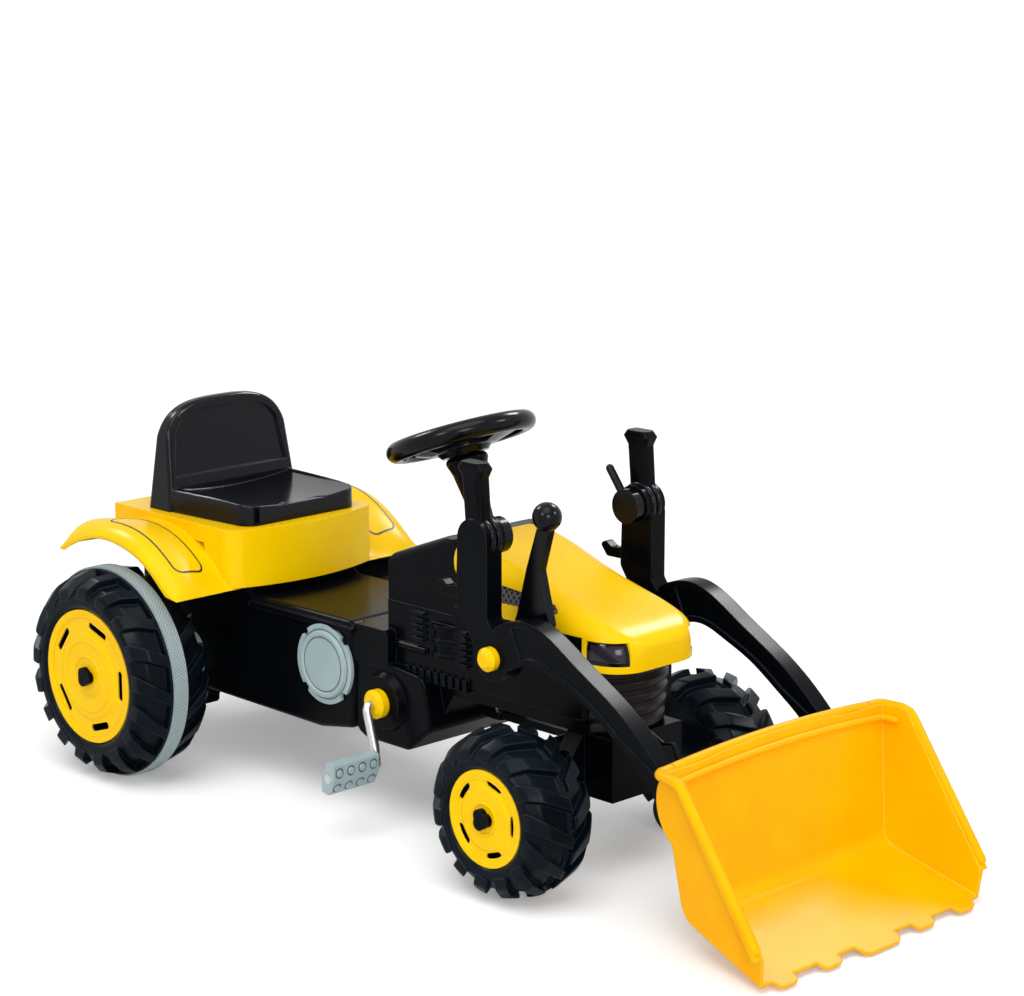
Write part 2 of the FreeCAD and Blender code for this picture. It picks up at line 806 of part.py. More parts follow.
def build_steering():
    """Steering shaft with its drop arm, column, wheel and horn button."""
    axis = steer_axis()
    hub = Vec(wheel_x, 0, wheel_z)
    under = hub - axis * wheel_hub_height
    pin_foot = drop_pin() - Vec(0, 0, tie_flat / 2)
    pin_top = drop_pin() + Vec(0, 0, steer_pin_rise)
    foot = steer_foot() + axis * (steer_pin_rise * axis.z)
    shaft_end = under + axis * (wheel_hub_height / 2 - horn_travel)
    shaft = rod(foot - axis * steer_rod_radius, shaft_end, steer_rod_radius)
    drop = rod(foot, pin_top, steer_rod_radius)
    pin = rod(pin_foot, pin_top, tie_pin_radius)
    ball = Part.makeSphere(steer_rod_radius, pin_top)
    pieces["steering_shaft"] = join([shaft, drop, pin, ball])

    # The column stands on the dash top and flares out under the wheel
    base = dash_front_z
    base_point = hub + axis * ((base - wheel_z) / axis.z)
    length = under.distanceToPoint(base_point) - piece_gap
    section = [(steer_rod_radius + column_wall_clearance, -overrun), (column_low_radius, -overrun),
               (column_low_radius, length * column_flare_share / 2),
               ((column_low_radius + column_top_radius) / 2, length * (1 + column_flare_share) / 2),
               (column_top_radius, length), (steer_rod_radius + column_wall_clearance, length)]
    column = spin_y(section, radius=column_low_radius)
    bush = spin_y([(steer_rod_radius + running_clearance, length - hub_wall),
                   (column_low_radius, length - hub_wall),
                   (column_low_radius, length), (steer_rod_radius + running_clearance, length)])
    column = join([column, bush])
    upright = FreeCAD.Placement(base_point, FreeCAD.Rotation(Vec(0, 1, 0), axis))
    column.Placement = upright.multiply(column.Placement)
    top_rise = (dash_front_z - dash_rear_z) / (dash_front_x - dash_rear_x)
    under_dash = slab_xz([(dash_rear_x - overrun, dash_rear_z - top_rise * overrun),
                          (dash_front_x, dash_front_z), (dash_front_x + overrun * 2, dash_front_z),
                          (dash_front_x + overrun * 2, tunnel_top_z), (dash_rear_x - overrun, tunnel_top_z)],
                         -dash_half_width, dash_half_width)
    pieces["steering_column"] = column.cut(under_dash)

    wheel, button = steering_wheel()
    seat = FreeCAD.Placement(hub, FreeCAD.Rotation(Vec(0, 1, 0), axis))
    wheel.Placement = seat.multiply(wheel.Placement)
    button.Placement = seat.multiply(button.Placement)
    socket = rod(under - axis * overrun, under + axis * (wheel_hub_height / 2),
                 steer_rod_radius + running_clearance)
    pieces["steering_wheel"] = wheel.cut(socket)
    pieces["horn_button"] = button


def steering_wheel():
    """Wheel and horn button about the Y axis, with the driver's side at +Y and the top spoke at +X."""
    ring = wheel_radius - wheel_rim_radius
    rim = Part.makeTorus(ring, wheel_rim_radius, Vec(0, 0, 0), Vec(0, 1, 0))
    web = spin_y([(0.0, -wheel_dish / 2 - wheel_web), (wheel_hub_radius, -wheel_dish / 2 - wheel_web),
                  (ring, -wheel_web / 2), (ring, wheel_web / 2), (wheel_hub_radius, -wheel_dish / 2),
                  (0.0, -wheel_dish / 2)])
    hub = spin_y([(0.0, -wheel_hub_height), (column_top_radius, -wheel_hub_height),
                  (wheel_hub_radius, -wheel_dish / 2), (wheel_hub_radius, wheel_dish / 4),
                  (0.0, wheel_dish / 4)])
    inner = wheel_hub_radius + wheel_rim_radius / 4
    outer = ring - wheel_rim_radius / 2
    large = opening_sector(inner, outer, *large_opening_angles)
    small = opening_sector((inner + outer) / 2, outer, *small_opening_angles)
    wheel = join([web, rim, hub])
    wheel = wheel.cut([large, other_opening(large), small, other_opening(small)])
    bore = horn_radius + piece_gap
    floor = wheel_dish / 4 - horn_height / 2 - horn_travel
    wheel = wheel.cut([rod_y(0, 0, bore, floor, wheel_dish),
                       rod_y(0, 0, horn_stem_radius + running_clearance, floor - horn_stem_length,
                             wheel_dish)])
    low = floor + horn_travel
    crown = low + horn_height
    button = spin_y([(0.0, low), (horn_radius, low), (horn_radius, crown - horn_height / 2),
                     (horn_radius - horn_height, crown), (0.0, crown)])
    stem = rod_y(0, 0, horn_stem_radius, low - horn_stem_length + piece_gap, low + horn_height / 4)
    return wheel, join([button, stem])


def opening_sector(inner, outer, start, end):
    """Cutter between two radii and two angles from the top spoke."""
    sector = spin_sector(inner, outer, end - start)
    sector.rotate(Vec(0, 0, 0), Vec(0, 1, 0), -start)
    return sector


def spin_sector(inner, outer, sweep):
    """Part turn of a tall section about Y."""
    tall = wheel_dish + wheel_web
    wire = corner_wire([Vec(inner, -tall, 0), Vec(outer, -tall, 0), Vec(outer, tall, 0),
                        Vec(inner, tall, 0)])
    return Part.Face(wire).revolve(Vec(0, 0, 0), Vec(0, 1, 0), -sweep)


def other_opening(shape):
    """The same opening on the other side of the top spoke."""
    return shape.mirror(Vec(0, 0, 0), Vec(0, 0, 1))


# Body, engine, dash, bonnet

def pitch_radius(teeth):
    """Pitch circle of a sprocket."""
    return teeth * chain_pitch / math.tau


def body_outline(inset):
    """Side outline of the rear housing and tunnel."""
    return [(body_rear_x + inset, body_top_z - inset),
            (body_seat_front_x - inset, body_top_z - inset),
            (body_seat_front_x + tunnel_slope - inset, tunnel_top_z - inset),
            (body_front_x - inset, tunnel_top_z - inset),
            (body_front_x - inset, body_nose_z + inset),
            (body_sump_x, body_low_z - body_sump_drop + inset),
            (body_tail_x + body_tail_run, body_low_z + inset),
            (body_tail_x, body_tail_z + inset),
            (body_rear_x + inset, body_tail_z + inset)]


def build_body():
    """Hollow rear housing with the low tunnel in front of it."""
    outer = slab_xz(body_outline(0.0), -body_half_width, body_half_width, body_corner)
    shell = outer.makeFillet(body_corner / 2, edges_along(outer, Vec(1, 0, 0), body_half_width))
    inner_half = body_half_width - body_wall
    hollow = slab_xz(body_outline(body_wall), -inner_half, inner_half, body_corner - body_wall)
    lips = [slab_xz([(body_seat_front_x + tunnel_slope, tunnel_top_z - body_corner),
                     (body_front_x, tunnel_top_z - body_corner),
                     (body_front_x, tunnel_top_z + tunnel_lip_height - body_corner),
                     (body_seat_front_x + tunnel_slope, tunnel_top_z + tunnel_lip_height - body_corner)],
                    side * (body_half_width - body_wall / 2), side * (body_half_width + tunnel_lip),
                    tunnel_lip_height / 2) for side in (1, -1)]
    cover_room = [rod_y(cover_x, cover_z, cover_radius + piece_gap, side * body_half_width,
                        side * (body_half_width + tunnel_lip + overrun)) for side in (1, -1)]
    shell = join([shell] + lips).cut([hollow] + cover_room)
    holes = [rod_y(0, axle_z, cone_radius_inner - cone_step, -body_half_width - overrun,
                   body_half_width + overrun)]
    bolts = seat_slots(body_top_z - body_wall - overrun, body_top_z + overrun, bolt_head_radius)
    big = pitch_radius(sprocket_crank_teeth) + chain_height * 2
    half = chain_width + chain_height
    doorway = block(body_front_x - body_corner, body_front_x + overrun, -half, half,
                    crank_z - big, crank_z + big)
    pieces["body_shell"] = shell.cut(holes + bolts + [doorway])


def seat_slots(z_from, z_to, radius):
    """Four slots along X for the seat bolts and their travel."""
    middle = (seat_rear_x + seat_front_x) / 2
    slots = []
    for along in (-1, 1):
        for side in (-1, 1):
            x = middle + along * bolt_spread / 2
            reach = radius + slot_clearance
            slots.append(slab_xy([(x - reach, side * bolt_y - reach),
                                  (x + seat_slide + reach, side * bolt_y - reach),
                                  (x + seat_slide + reach, side * bolt_y + reach),
                                  (x - reach, side * bolt_y + reach)], z_from, z_to, reach))
    return slots


def build_engine():
    """Engine block with fins, cylinders, louvres and the crankcase bulge."""
    upper = slab_xz([(body_front_x, tunnel_top_z), (dash_rear_x, tunnel_top_z),
                     (dash_rear_x, engine_shoulder_z),
                     (engine_step_x, engine_shoulder_z), (engine_step_x, engine_top_z),
                     (engine_front_x, engine_top_z), (engine_front_x, engine_waist_z),
                     (body_front_x, engine_waist_z)], -engine_half_width, engine_half_width)
    lower = slab_xz([(body_front_x, engine_waist_z), (engine_front_x, engine_waist_z),
                     (engine_front_x, engine_under_z), (crankcase_front_x + body_corner * 2, engine_under_z),
                     (crankcase_front_x, crankcase_rise_z), (body_front_x, crankcase_rise_z)],
                    -engine_low_half_width, engine_low_half_width)
    crankcase = slab_xz([(body_front_x, engine_waist_z + body_corner), (crankcase_front_x, engine_waist_z),
                         (crankcase_front_x + body_corner, crankcase_rise_z),
                         (crank_x + crank_boss_radius, crankcase_low_z),
                         (crank_x - crank_boss_radius, crankcase_low_z),
                         (body_front_x, body_nose_z)],
                        -crankcase_half_width, crankcase_half_width, body_corner)
    crankcase = crankcase.makeFillet(body_corner / 3, edges_along(crankcase, Vec(1, 0, 0), body_corner))
    wings = slab_xz([(body_front_x, tunnel_top_z), (dash_rear_x + body_corner, tunnel_top_z),
                     (dash_rear_x + body_corner, engine_waist_z), (body_front_x, engine_waist_z)],
                    -body_half_width + piece_gap, body_half_width - piece_gap, body_corner / 2)
    details = [detail for side in (1, -1) for detail in engine_details(side)]
    block_shape = join([upper, lower, crankcase, wings] + details)
    inner = slab_xz([(body_front_x - overrun, tunnel_top_z - engine_wall),
                     (dash_rear_x + engine_wall, tunnel_top_z - engine_wall),
                     (dash_rear_x + engine_wall, engine_shoulder_z - engine_wall),
                     (engine_step_x + engine_wall, engine_shoulder_z - engine_wall),
                     (engine_step_x + engine_wall, engine_top_z - engine_wall),
                     (engine_front_x - engine_wall, engine_top_z - engine_wall),
                     (engine_front_x - engine_wall, engine_under_z + engine_wall),
                     (crankcase_front_x + body_corner, engine_under_z + engine_wall),
                     (crankcase_front_x - engine_wall, crankcase_rise_z + engine_wall),
                     (crank_x + crank_boss_radius - engine_wall, crankcase_low_z + engine_wall),
                     (crank_x - crank_boss_radius + engine_wall, crankcase_low_z + engine_wall),
                     (body_front_x - overrun, body_nose_z + engine_wall * 2)],
                    -engine_low_half_width + engine_wall, engine_low_half_width - engine_wall)
    bore = rod(steer_foot() - steer_axis() * overrun, Vec(wheel_x, 0, wheel_z), steer_rod_radius * 2)
    swing = slab_xy([(drop_pin().x - overrun, -steer_arm / 2),
                     (steer_foot().x + overrun, -steer_rod_radius * 2),
                     (steer_foot().x + overrun, steer_rod_radius * 2),
                     (drop_pin().x - overrun, steer_arm / 2)],
                    engine_under_z - overrun, engine_under_z + engine_wall + overrun)
    shaft = rod_y(pivot_x, pivot_z, loader_shaft_radius + running_clearance,
                  -engine_half_width - overrun, engine_half_width + overrun)
    crank = rod_y(crank_x, crank_z, crank_rod_radius * 2, -body_half_width - overrun,
                  body_half_width + overrun)
    pieces["engine_block"] = block_shape.cut([inner, bore, swing, shaft, crank])


def engine_details(side):
    """Moulded engine on one side: louvres before and behind a ribbed cylinder, fins below and a hose."""
    skin = side * (engine_half_width - engine_wall / 2)
    proud = side * (engine_half_width + fin_depth)
    details = []
    columns = ((rear_louvre_count, rear_louvre_x, rear_louvre_z, rear_louvre_width),
               (front_louvre_count, front_louvre_x, front_louvre_z, front_louvre_width))
    for count, x, low, width in columns:
        for i in range(count):
            z = low + i * louvre_pitch
            details.append(slab_xz([(x, z), (x + width, z), (x + width, z + louvre_height),
                                    (x, z + louvre_height)],
                                   skin, proud))
    for i in range(fin_count):
        x = fin_x + i * fin_pitch
        details.append(slab_xz([(x, fin_z), (x + fin_pitch / 2, fin_z),
                                (x + fin_pitch / 2, fin_z + fin_height),
                                (x, fin_z + fin_height)], side * (engine_low_half_width - engine_wall / 2),
                                proud))
    middle = Vec(cylinder_x, side * (engine_half_width + cylinder_proud - cylinder_radius), cylinder_z)
    up = Vec(0, 0, 1)
    details.append(rod(middle, middle + up * cylinder_height, cylinder_radius))
    for share in cylinder_rib_shares:
        foot = middle + up * (cylinder_height * share)
        details.append(rod(foot, foot + up * cylinder_collar, cylinder_radius + cylinder_collar / 2))
    start = Vec(hose_x, side * engine_half_width, hose_z)
    details.append(rod(start, start + Vec(hose_length, 0, 0), hose_radius))
    return details


def dash_outline():
    """Side outline of the dash console; its front leans along the bonnet's rear edge."""
    lean = (bonnet_rear_low_x - bonnet_rear_top_x) / (bonnet_rear_top_z - bonnet_low_z)
    low_x = bonnet_rear_top_x + lean * (bonnet_rear_top_z - engine_top_z) - piece_gap
    high_x = bonnet_rear_top_x + lean * (bonnet_rear_top_z - dash_front_z) - piece_gap
    return [(dash_rear_x, engine_shoulder_z), (dash_rear_x, dash_rear_z), (dash_front_x, dash_front_z),
            (high_x, dash_front_z), (low_x, engine_top_z), (engine_step_x, engine_top_z),
            (engine_step_x, engine_shoulder_z)]


def build_dash():
    """Dash console with a tilted top and the instrument plate let into it."""
    outer = slab_xz(dash_outline(), -dash_half_width, dash_half_width)
    sides = [edge for edge in outer.Edges if edge.Length > dash_half_width / 2]
    rise = math.atan2(dash_front_z - dash_rear_z, dash_front_x - dash_rear_x)
    slope = Vec(math.cos(rise), 0, math.sin(rise))
    rounded = [edge for edge in sides
               if abs(edge.Vertexes[0].Z + edge.Vertexes[-1].Z) > 2 * (dash_rear_z - dash_corner)
               or abs(edge.tangentAt(edge.FirstParameter).dot(slope)) > straight_share]
    rounded = [edge for edge in rounded
               if max(vertex.X for vertex in edge.Vertexes) < dash_front_x + dash_corner / 4]
    shell = outer.makeFillet(dash_corner, rounded)
    hollow = slab_xz([(dash_rear_x + engine_wall, tunnel_top_z - overrun),
                      (dash_rear_x + engine_wall, dash_rear_z - engine_wall),
                      (dash_front_x - engine_wall, dash_front_z - dash_corner - engine_wall),
                      (engine_step_x - engine_wall, dash_front_z - dash_corner - engine_wall),
                      (engine_step_x - engine_wall, tunnel_top_z - overrun)],
                     -dash_half_width + engine_wall, dash_half_width - engine_wall)
    start = Vec(dash_rear_x, 0, dash_rear_z) + slope * plate_margin
    plate = slab_xy([(0, -plate_half_width), (plate_length, -plate_half_width),
                     (plate_length, plate_half_width), (0, plate_half_width)], -plate_thickness,
                     plate_thickness / 4,
                    plate_corner)
    plate.rotate(Vec(0, 0, 0), Vec(0, 1, 0), -math.degrees(rise))
    plate.translate(start)
    axis = steer_axis()
    hub = Vec(wheel_x, 0, wheel_z)
    bore = rod(hub - axis * (wheel_z - tunnel_top_z), hub, steer_rod_radius + column_wall_clearance)
    clear = rod(hub - axis * (wheel_z - tunnel_top_z), hub, column_low_radius + piece_gap)
    pieces["instrument_plate"] = plate.cut(clear)
    pieces["dash_console"] = shell.cut([hollow, plate, bore])


def bonnet_section(x, half, low, top, edge):
    """Rounded-top section of the bonnet at one x."""
    return corner_wire([Vec(x, -half, low), Vec(x, -half, top), Vec(x, half, top), Vec(x, half, low)], edge,
                       (0, 3))


def bonnet_body(inset):
    """Solid through the bonnet's sections, inset from its outside."""
    low = bonnet_nose_low_z - (overrun if inset else 0.0)
    length = bonnet_nose_x - bonnet_rear_top_x
    fall = bonnet_rear_top_z - bonnet_nose_low_z
    sections = []
    for x_share, half_share, top_share, edge_share in bonnet_section_shares:
        x = bonnet_rear_top_x + length * x_share
        if inset:
            x = x - inset if x_share > 0.0 else x - overrun
        half = bonnet_half_width * half_share - inset
        top = bonnet_nose_low_z + fall * top_share - inset
        sections.append(bonnet_section(x, half, low, top, bonnet_edge * edge_share))
    return Part.makeLoft(sections, True, False)


def build_bonnet():
    """Bonnet shell, with its side vents and the dark headlight panels at the nose corners."""
    shell = bonnet_body(0.0).cut(bonnet_body(bonnet_wall))
    lean = bonnet_rear_low_x - bonnet_rear_top_x
    wide = bonnet_half_width + overrun
    under = slab_xz([(bonnet_rear_top_x - overrun, bonnet_nose_low_z - overrun),
                     (bonnet_skirt_x, bonnet_nose_low_z - overrun), (bonnet_skirt_x, bonnet_low_z),
                     (bonnet_rear_top_x - overrun, bonnet_low_z)], -wide, wide)
    behind = slab_xz([(bonnet_rear_top_x, bonnet_rear_top_z), (bonnet_rear_low_x, bonnet_low_z),
                      (bonnet_rear_low_x, bonnet_low_z - overrun),
                      (bonnet_rear_top_x - overrun, bonnet_low_z - overrun),
                      (bonnet_rear_top_x - overrun, bonnet_rear_top_z)], -wide, wide)
    shell = shell.cut([under, behind])
    lamp_zone = block(lamp_rear_x, bonnet_nose_x + overrun, lamp_inner_y, wide, lamp_low_z, lamp_high_z)
    vent_zone = slab_xz([(vent_rear_x + vent_lean, vent_low_z), (vent_front_x, vent_low_z),
                         (vent_front_x - vent_lean, vent_low_z + (vent_high_z - vent_low_z) / 3),
                         (vent_rear_x, vent_high_z)], bonnet_half_width - bonnet_edge, wide, vent_lean / 4)
    zones = [lamp_zone, other_side(lamp_zone), vent_zone, other_side(vent_zone)]
    thin = bonnet_body(vent_inset).cut(bonnet_body(bonnet_wall))
    pieces["headlights"] = pair(thin.common(lamp_zone).Solids[0])
    pieces["vent_panels"] = pair(thin.common(vent_zone).Solids[0])
    pieces["bonnet"] = shell.cut(zones)


def build_grille():
    """Barrel-shaped grille of bulging bands under the bonnet's nose."""
    high = bonnet_nose_low_z - piece_gap
    step = (high - engine_under_z) / grille_band_count
    bands = []
    for i in range(grille_band_count):
        share = grille_taper_share + (1 - grille_taper_share) * (i + 1) / grille_band_count
        half = grille_half_width * share
        depth = grille_depth * share
        z = engine_under_z + i * step
        left = Vec(engine_front_x, half, z)
        right = Vec(engine_front_x, -half, z)
        nose = Vec(engine_front_x + depth, 0, z)
        front = Part.Arc(left, nose, right).toShape()
        back = Part.LineSegment(right, left).toShape()
        band = Part.Face(Part.Wire([front, back])).extrude(Vec(0, 0, step))
        curved = [edge for edge in band.Edges if edge.Length > half * 2 + depth / 4]
        bands.append(band.makeChamfer(grille_edge, curved))
    seam = block(engine_front_x + grille_depth / 2, engine_front_x + grille_depth + overrun,
                 -ridge_width / 4, ridge_width / 4, engine_under_z - overrun, high + overrun)
    pieces["grille"] = join(bands).cut(seam)


# Mudguard and seat

def wing_section(share, rise_share, wall):
    """Closed section of a wing at one share of its half width, thinned by a wall."""
    length = guard_front_x - guard_rear_x
    height = guard_top_z - guard_low_z
    middle = (guard_front_x + guard_rear_x) / 2
    points = []
    for (edge_x, edge_z), (top_x, top_z) in zip(wing_edge_shares, wing_top_shares):
        x = guard_rear_x + length * (edge_x + (top_x - edge_x) * rise_share)
        z = guard_low_z + height * (edge_z + (top_z - edge_z) * rise_share)
        x = middle + (x - middle) * (length - 2 * wall) / length
        points.append(Vec(x, guard_half_width * share, z - wall))
    arch = Part.BSplineCurve()
    arch.interpolate(points)
    return Part.Wire([arch.toShape(), Part.LineSegment(points[-1], points[0]).toShape()])


def build_wing():
    """Wing over a rear wheel: a crowned shell that rolls down to its outer edge."""
    sections = list(zip(guard_shoulder_shares, wing_rise_shares))
    crown = Part.makeLoft([wing_section(share, rise, 0.0) for share, rise in sections], True, False)
    hollow = Part.makeLoft([wing_section(share, rise, guard_wall) for share, rise in sections], True, False)
    return crown.cut(hollow)


def build_guard():
    """One moulding: wings, seat platform and bowed apron under the seat."""
    wing = build_wing()
    half = platform_half_width
    solid = bowed_block(seat_platform_rear_x, seat_platform_front_x, half, apron_bulge, apron_low_z,
                        platform_top_z)
    solid = solid.makeFillet(apron_corner, [edge for edge in edges_along(solid, Vec(0, 0, 1), apron_corner)
                                            if edge.BoundBox.XMin > seat_platform_front_x - apron_corner])
    core = bowed_block(seat_platform_rear_x - overrun, seat_platform_front_x - guard_wall, half - guard_wall,
                       apron_bulge, apron_low_z - overrun, body_top_z)
    side_cut = [slab_xz(guard_arch_room(), side * (body_half_width + guard_wall), side * (half + overrun))
                for side in (1, -1)]
    platform = solid.cut([core] + side_cut)
    slots = seat_slots(body_top_z - overrun, platform_top_z + overrun, bolt_radius)
    lens = build_lens()
    moulding = platform.fuse(wing).fuse(other_side(wing)).removeSplitter()
    pieces["mudguard"] = moulding.cut(slots + [lens, other_side(lens)])
    pieces["rear_lights"] = pair(lens)


def guard_arch_room():
    """Space under the platform's sides where the wheels' tops come up."""
    low = apron_low_z - overrun
    return [(seat_platform_rear_x - overrun, low), (seat_platform_front_x - guard_corner * 2, low),
            (seat_platform_front_x - guard_corner * 3, body_top_z - guard_corner),
            (seat_platform_rear_x - overrun, body_top_z - guard_corner)]


def bowed_block(rear_x, front_x, half, bulge, z_from, z_to):
    """Block whose front wall bows forward."""
    a = Vec(rear_x, -half, z_from)
    b = Vec(front_x, -half, z_from)
    c = Vec(front_x + bulge, 0, z_from)
    d = Vec(front_x, half, z_from)
    e = Vec(rear_x, half, z_from)
    wire = Part.Wire([Part.LineSegment(a, b).toShape(), Part.Arc(b, c, d).toShape(),
                      Part.LineSegment(d, e).toShape(), Part.LineSegment(e, a).toShape()])
    return Part.Face(wire).extrude(Vec(0, 0, z_to - z_from))


def build_lens():
    """Oval lens let into the sloping rear of a wing."""
    ellipse = Part.Ellipse(Vec(0, 0, 0), lens_half_width, lens_half_height)
    face = Part.Face(Part.Wire([ellipse.toShape()]))
    lens = face.extrude(Vec(0, 0, lens_depth + lens_proud))
    lens = lens.makeFillet(lens_proud / 2, [edge for edge in lens.Edges if edge.BoundBox.ZMin > lens_depth])
    lens.translate(Vec(0, 0, -lens_depth))
    lens.rotate(Vec(0, 0, 0), Vec(0, 0, 1), 90)
    lens.rotate(Vec(0, 0, 0), Vec(0, 1, 0), -lens_lean)
    lens.translate(Vec(lens_x, lens_y, lens_z))
    return lens


def build_seat():
    """Seat with a dished pan, wavy front and an arched back with an inset panel, and its four bolts."""
    floor = platform_top_z + seat_gap
    edge_top = floor + seat_edge
    pan = slab_xy([(seat_rear_x, -seat_half_width), (seat_front_x, -seat_half_width + seat_rim),
                   (seat_front_x, seat_half_width - seat_rim), (seat_rear_x, seat_half_width)],
                  floor, edge_top, seat_corner)
    upper = [edge for edge in pan.Edges if edge.BoundBox.ZMin > edge_top - seat_rim / 8]
    pan = pan.makeFillet(seat_rim / 2, upper)
    dip_radius = (seat_half_width ** 2 + seat_pan_dip ** 2) / (2 * seat_pan_dip)
    inner = seat_half_width - seat_rim
    dish = rod(Vec(seat_rear_x + seat_back_foot, 0, edge_top - seat_pan_dip + dip_radius),
               Vec(seat_front_x + overrun, 0, edge_top - seat_pan_dip + dip_radius), dip_radius)
    dish = dish.common(block(seat_rear_x, seat_front_x + overrun, -inner, inner, floor, edge_top + overrun))
    pan = pan.cut(dish)

    top = floor + seat_back_top
    shoulder = seat_half_width * seat_shoulder_share
    arch = back_arch(seat_half_width, shoulder, floor, top)
    side = slab_xz([(seat_rear_x, floor), (seat_rear_x + seat_back_foot, floor),
                    (seat_rear_x + seat_back_foot, edge_top), (seat_rear_x + seat_back_head + seat_rim, top),
                    (seat_rear_x + seat_rim, top)], -seat_half_width, seat_half_width)
    back = arch.common(side)
    rounded = [edge for edge in back.Edges
               if edge.BoundBox.ZMax > edge_top + seat_rim and edge.BoundBox.ZLength > seat_rim]
    back = back.makeFillet(seat_back_edge, rounded)
    lean = Vec(seat_back_foot - seat_back_head - seat_rim, 0, top - edge_top)
    panel = back_arch(inner, shoulder - seat_rim, edge_top + seat_rim, top - seat_rim)
    front = slab_xz([(seat_rear_x + seat_back_foot - seat_panel_depth, edge_top),
                     (seat_rear_x + seat_back_foot + overrun, edge_top),
                     (seat_rear_x + seat_back_foot + overrun - lean.x, top),
                     (seat_rear_x + seat_back_foot - seat_panel_depth - lean.x, top)],
                    -seat_half_width, seat_half_width)
    panel = panel.common(front)
    wave = slab_xy([(seat_front_x - seat_pan_dip, -inner / 3), (seat_front_x + overrun, -inner / 3 * 2),
                    (seat_front_x + overrun, inner / 3 * 2), (seat_front_x - seat_pan_dip, inner / 3)],
                   edge_top - seat_pan_dip, edge_top + overrun, seat_pan_dip)
    pieces["seat"] = join([pan, back]).cut([panel, wave])

    shank_low = body_top_z - bolt_head - piece_gap
    middle = (seat_rear_x + seat_front_x) / 2
    bolts = []
    for along in (-1, 1):
        for y in (-bolt_y, bolt_y):
            x = middle + along * bolt_spread / 2
            shank = rod_z(x, y, bolt_radius, shank_low, floor)
            head = rod_z(x, y, bolt_head_radius, shank_low, shank_low + bolt_head)
            bolts.append(join([shank, head]))
    pieces["seat_bolts"] = Part.makeCompound(bolts)


def back_arch(half, shoulder, low, top):
    """Front outline of the backrest: straight sides that draw in, and an arched top, along X."""
    spring = low + (top - low) * seat_spring_share
    a = Vec(0, -half, low)
    b = Vec(0, -shoulder, spring)
    c = Vec(0, 0, top)
    d = Vec(0, shoulder, spring)
    e = Vec(0, half, low)
    knee_y = shoulder * seat_knee_shares[0]
    knee_z = spring + (top - spring) * seat_knee_shares[1]
    knee = Vec(0, -knee_y, knee_z)
    other_knee = Vec(0, knee_y, knee_z)
    crown = Part.BSplineCurve()
    crown.interpolate([b, knee, c, other_knee, d])
    wire = Part.Wire([Part.LineSegment(a, b).toShape(), crown.toShape(), Part.LineSegment(d, e).toShape(),
                      Part.LineSegment(e, a).toShape()])
    face = Part.Face(wire)
    face.translate(Vec(seat_rear_x - overrun, 0, 0))
    return face.extrude(Vec(seat_back_foot + overrun * 3, 0, 0))


# Drive

def build_covers():
    """Round grey covers with a stepped, notched ring."""
    base = body_half_width + piece_gap / 4
    face = base + cover_thickness
    ring = cover_radius - cover_step
    flange = base + cover_flange
    cover = spin_y([(0.0, base), (cover_radius, base), (cover_radius, flange), (ring, flange),
                    (ring - cover_groove, face), (ring - cover_ring, face),
                    (ring - cover_ring - cover_groove, face - cover_groove), (0.0, face - cover_groove)],
                   cover_x, cover_z)
    notches = []
    for i in range(cover_notch_count):
        angle = (2 * i + 1) * math.pi / cover_notch_count
        x = cover_x + cover_radius * math.cos(angle)
        z = cover_z + cover_radius * math.sin(angle)
        notches.append(rod_y(x, z, cover_notch / 2, base - overrun, face + overrun))
    cover = cover.cut(notches)
    pieces["side_covers"] = pair(cover)


def build_cones():
    """Grey cones that carry the rear axle on the body's sides."""
    start = body_half_width + piece_gap / 4
    tyre_face = rear_half_track - rear_width - cap_thickness / 2 - lug_proud
    end = start + (tyre_face - start) * cone_reach_share
    bore = axle_radius + running_clearance
    cone = spin_y([(bore, start), (cone_radius_inner, start), (cone_radius_inner, start + cone_lip),
                   (cone_radius_outer + cone_lip, end - cone_lip), (cone_radius_outer, end), (bore, end)])
    cone.translate(Vec(0, 0, axle_z))
    pieces["axle_cones"] = pair(cone)


def sprocket(teeth, bore, x, z):
    """Toothed disc with a hub, in the middle plane."""
    ring = pitch_radius(teeth)
    root = ring - tooth_height
    half = sprocket_thickness / 2
    points = []
    for i in range(teeth):
        angle = i * math.tau / teeth
        step = math.tau / teeth
        for turn_share, rise_share in tooth_outline_shares:
            radius = root + tooth_height * rise_share * 3 / 2
            turn = angle + turn_share * step
            points.append((x + radius * math.cos(turn), z + radius * math.sin(turn)))
    disc = slab_xz(points, -half, half)
    hub = rod_y(x, z, bore + sprocket_hub_wall, -chain_width, chain_width)
    return join([disc, hub]).cut(rod_y(x, z, bore + running_clearance, -overrun, overrun))


def chain_band(offset):
    """Loop round both sprockets, at an offset from their pitch circles."""
    front = pitch_radius(sprocket_crank_teeth) + offset
    rear = pitch_radius(sprocket_rear_teeth) + offset
    between = Vec(crank_x, 0, crank_z) - Vec(0, 0, axle_z)
    heading = math.atan2(between.z, between.x)
    spread = math.acos((rear - front) / between.Length)
    half = chain_width / 2

    def on(centre_x, centre_z, radius, angle):
        return Vec(centre_x + radius * math.cos(angle), -half, centre_z + radius * math.sin(angle))

    rear_up = on(0, axle_z, rear, heading + spread)
    rear_mid = on(0, axle_z, rear, heading + math.pi)
    rear_down = on(0, axle_z, rear, heading - spread)
    front_up = on(crank_x, crank_z, front, heading + spread)
    front_mid = on(crank_x, crank_z, front, heading)
    front_down = on(crank_x, crank_z, front, heading - spread)
    wire = Part.Wire([Part.Arc(rear_up, rear_mid, rear_down).toShape(),
                      Part.LineSegment(rear_down, front_down).toShape(),
                      Part.Arc(front_down, front_mid, front_up).toShape(),
                      Part.LineSegment(front_up, rear_up).toShape()])
    return Part.Face(wire).extrude(Vec(0, chain_width, 0))


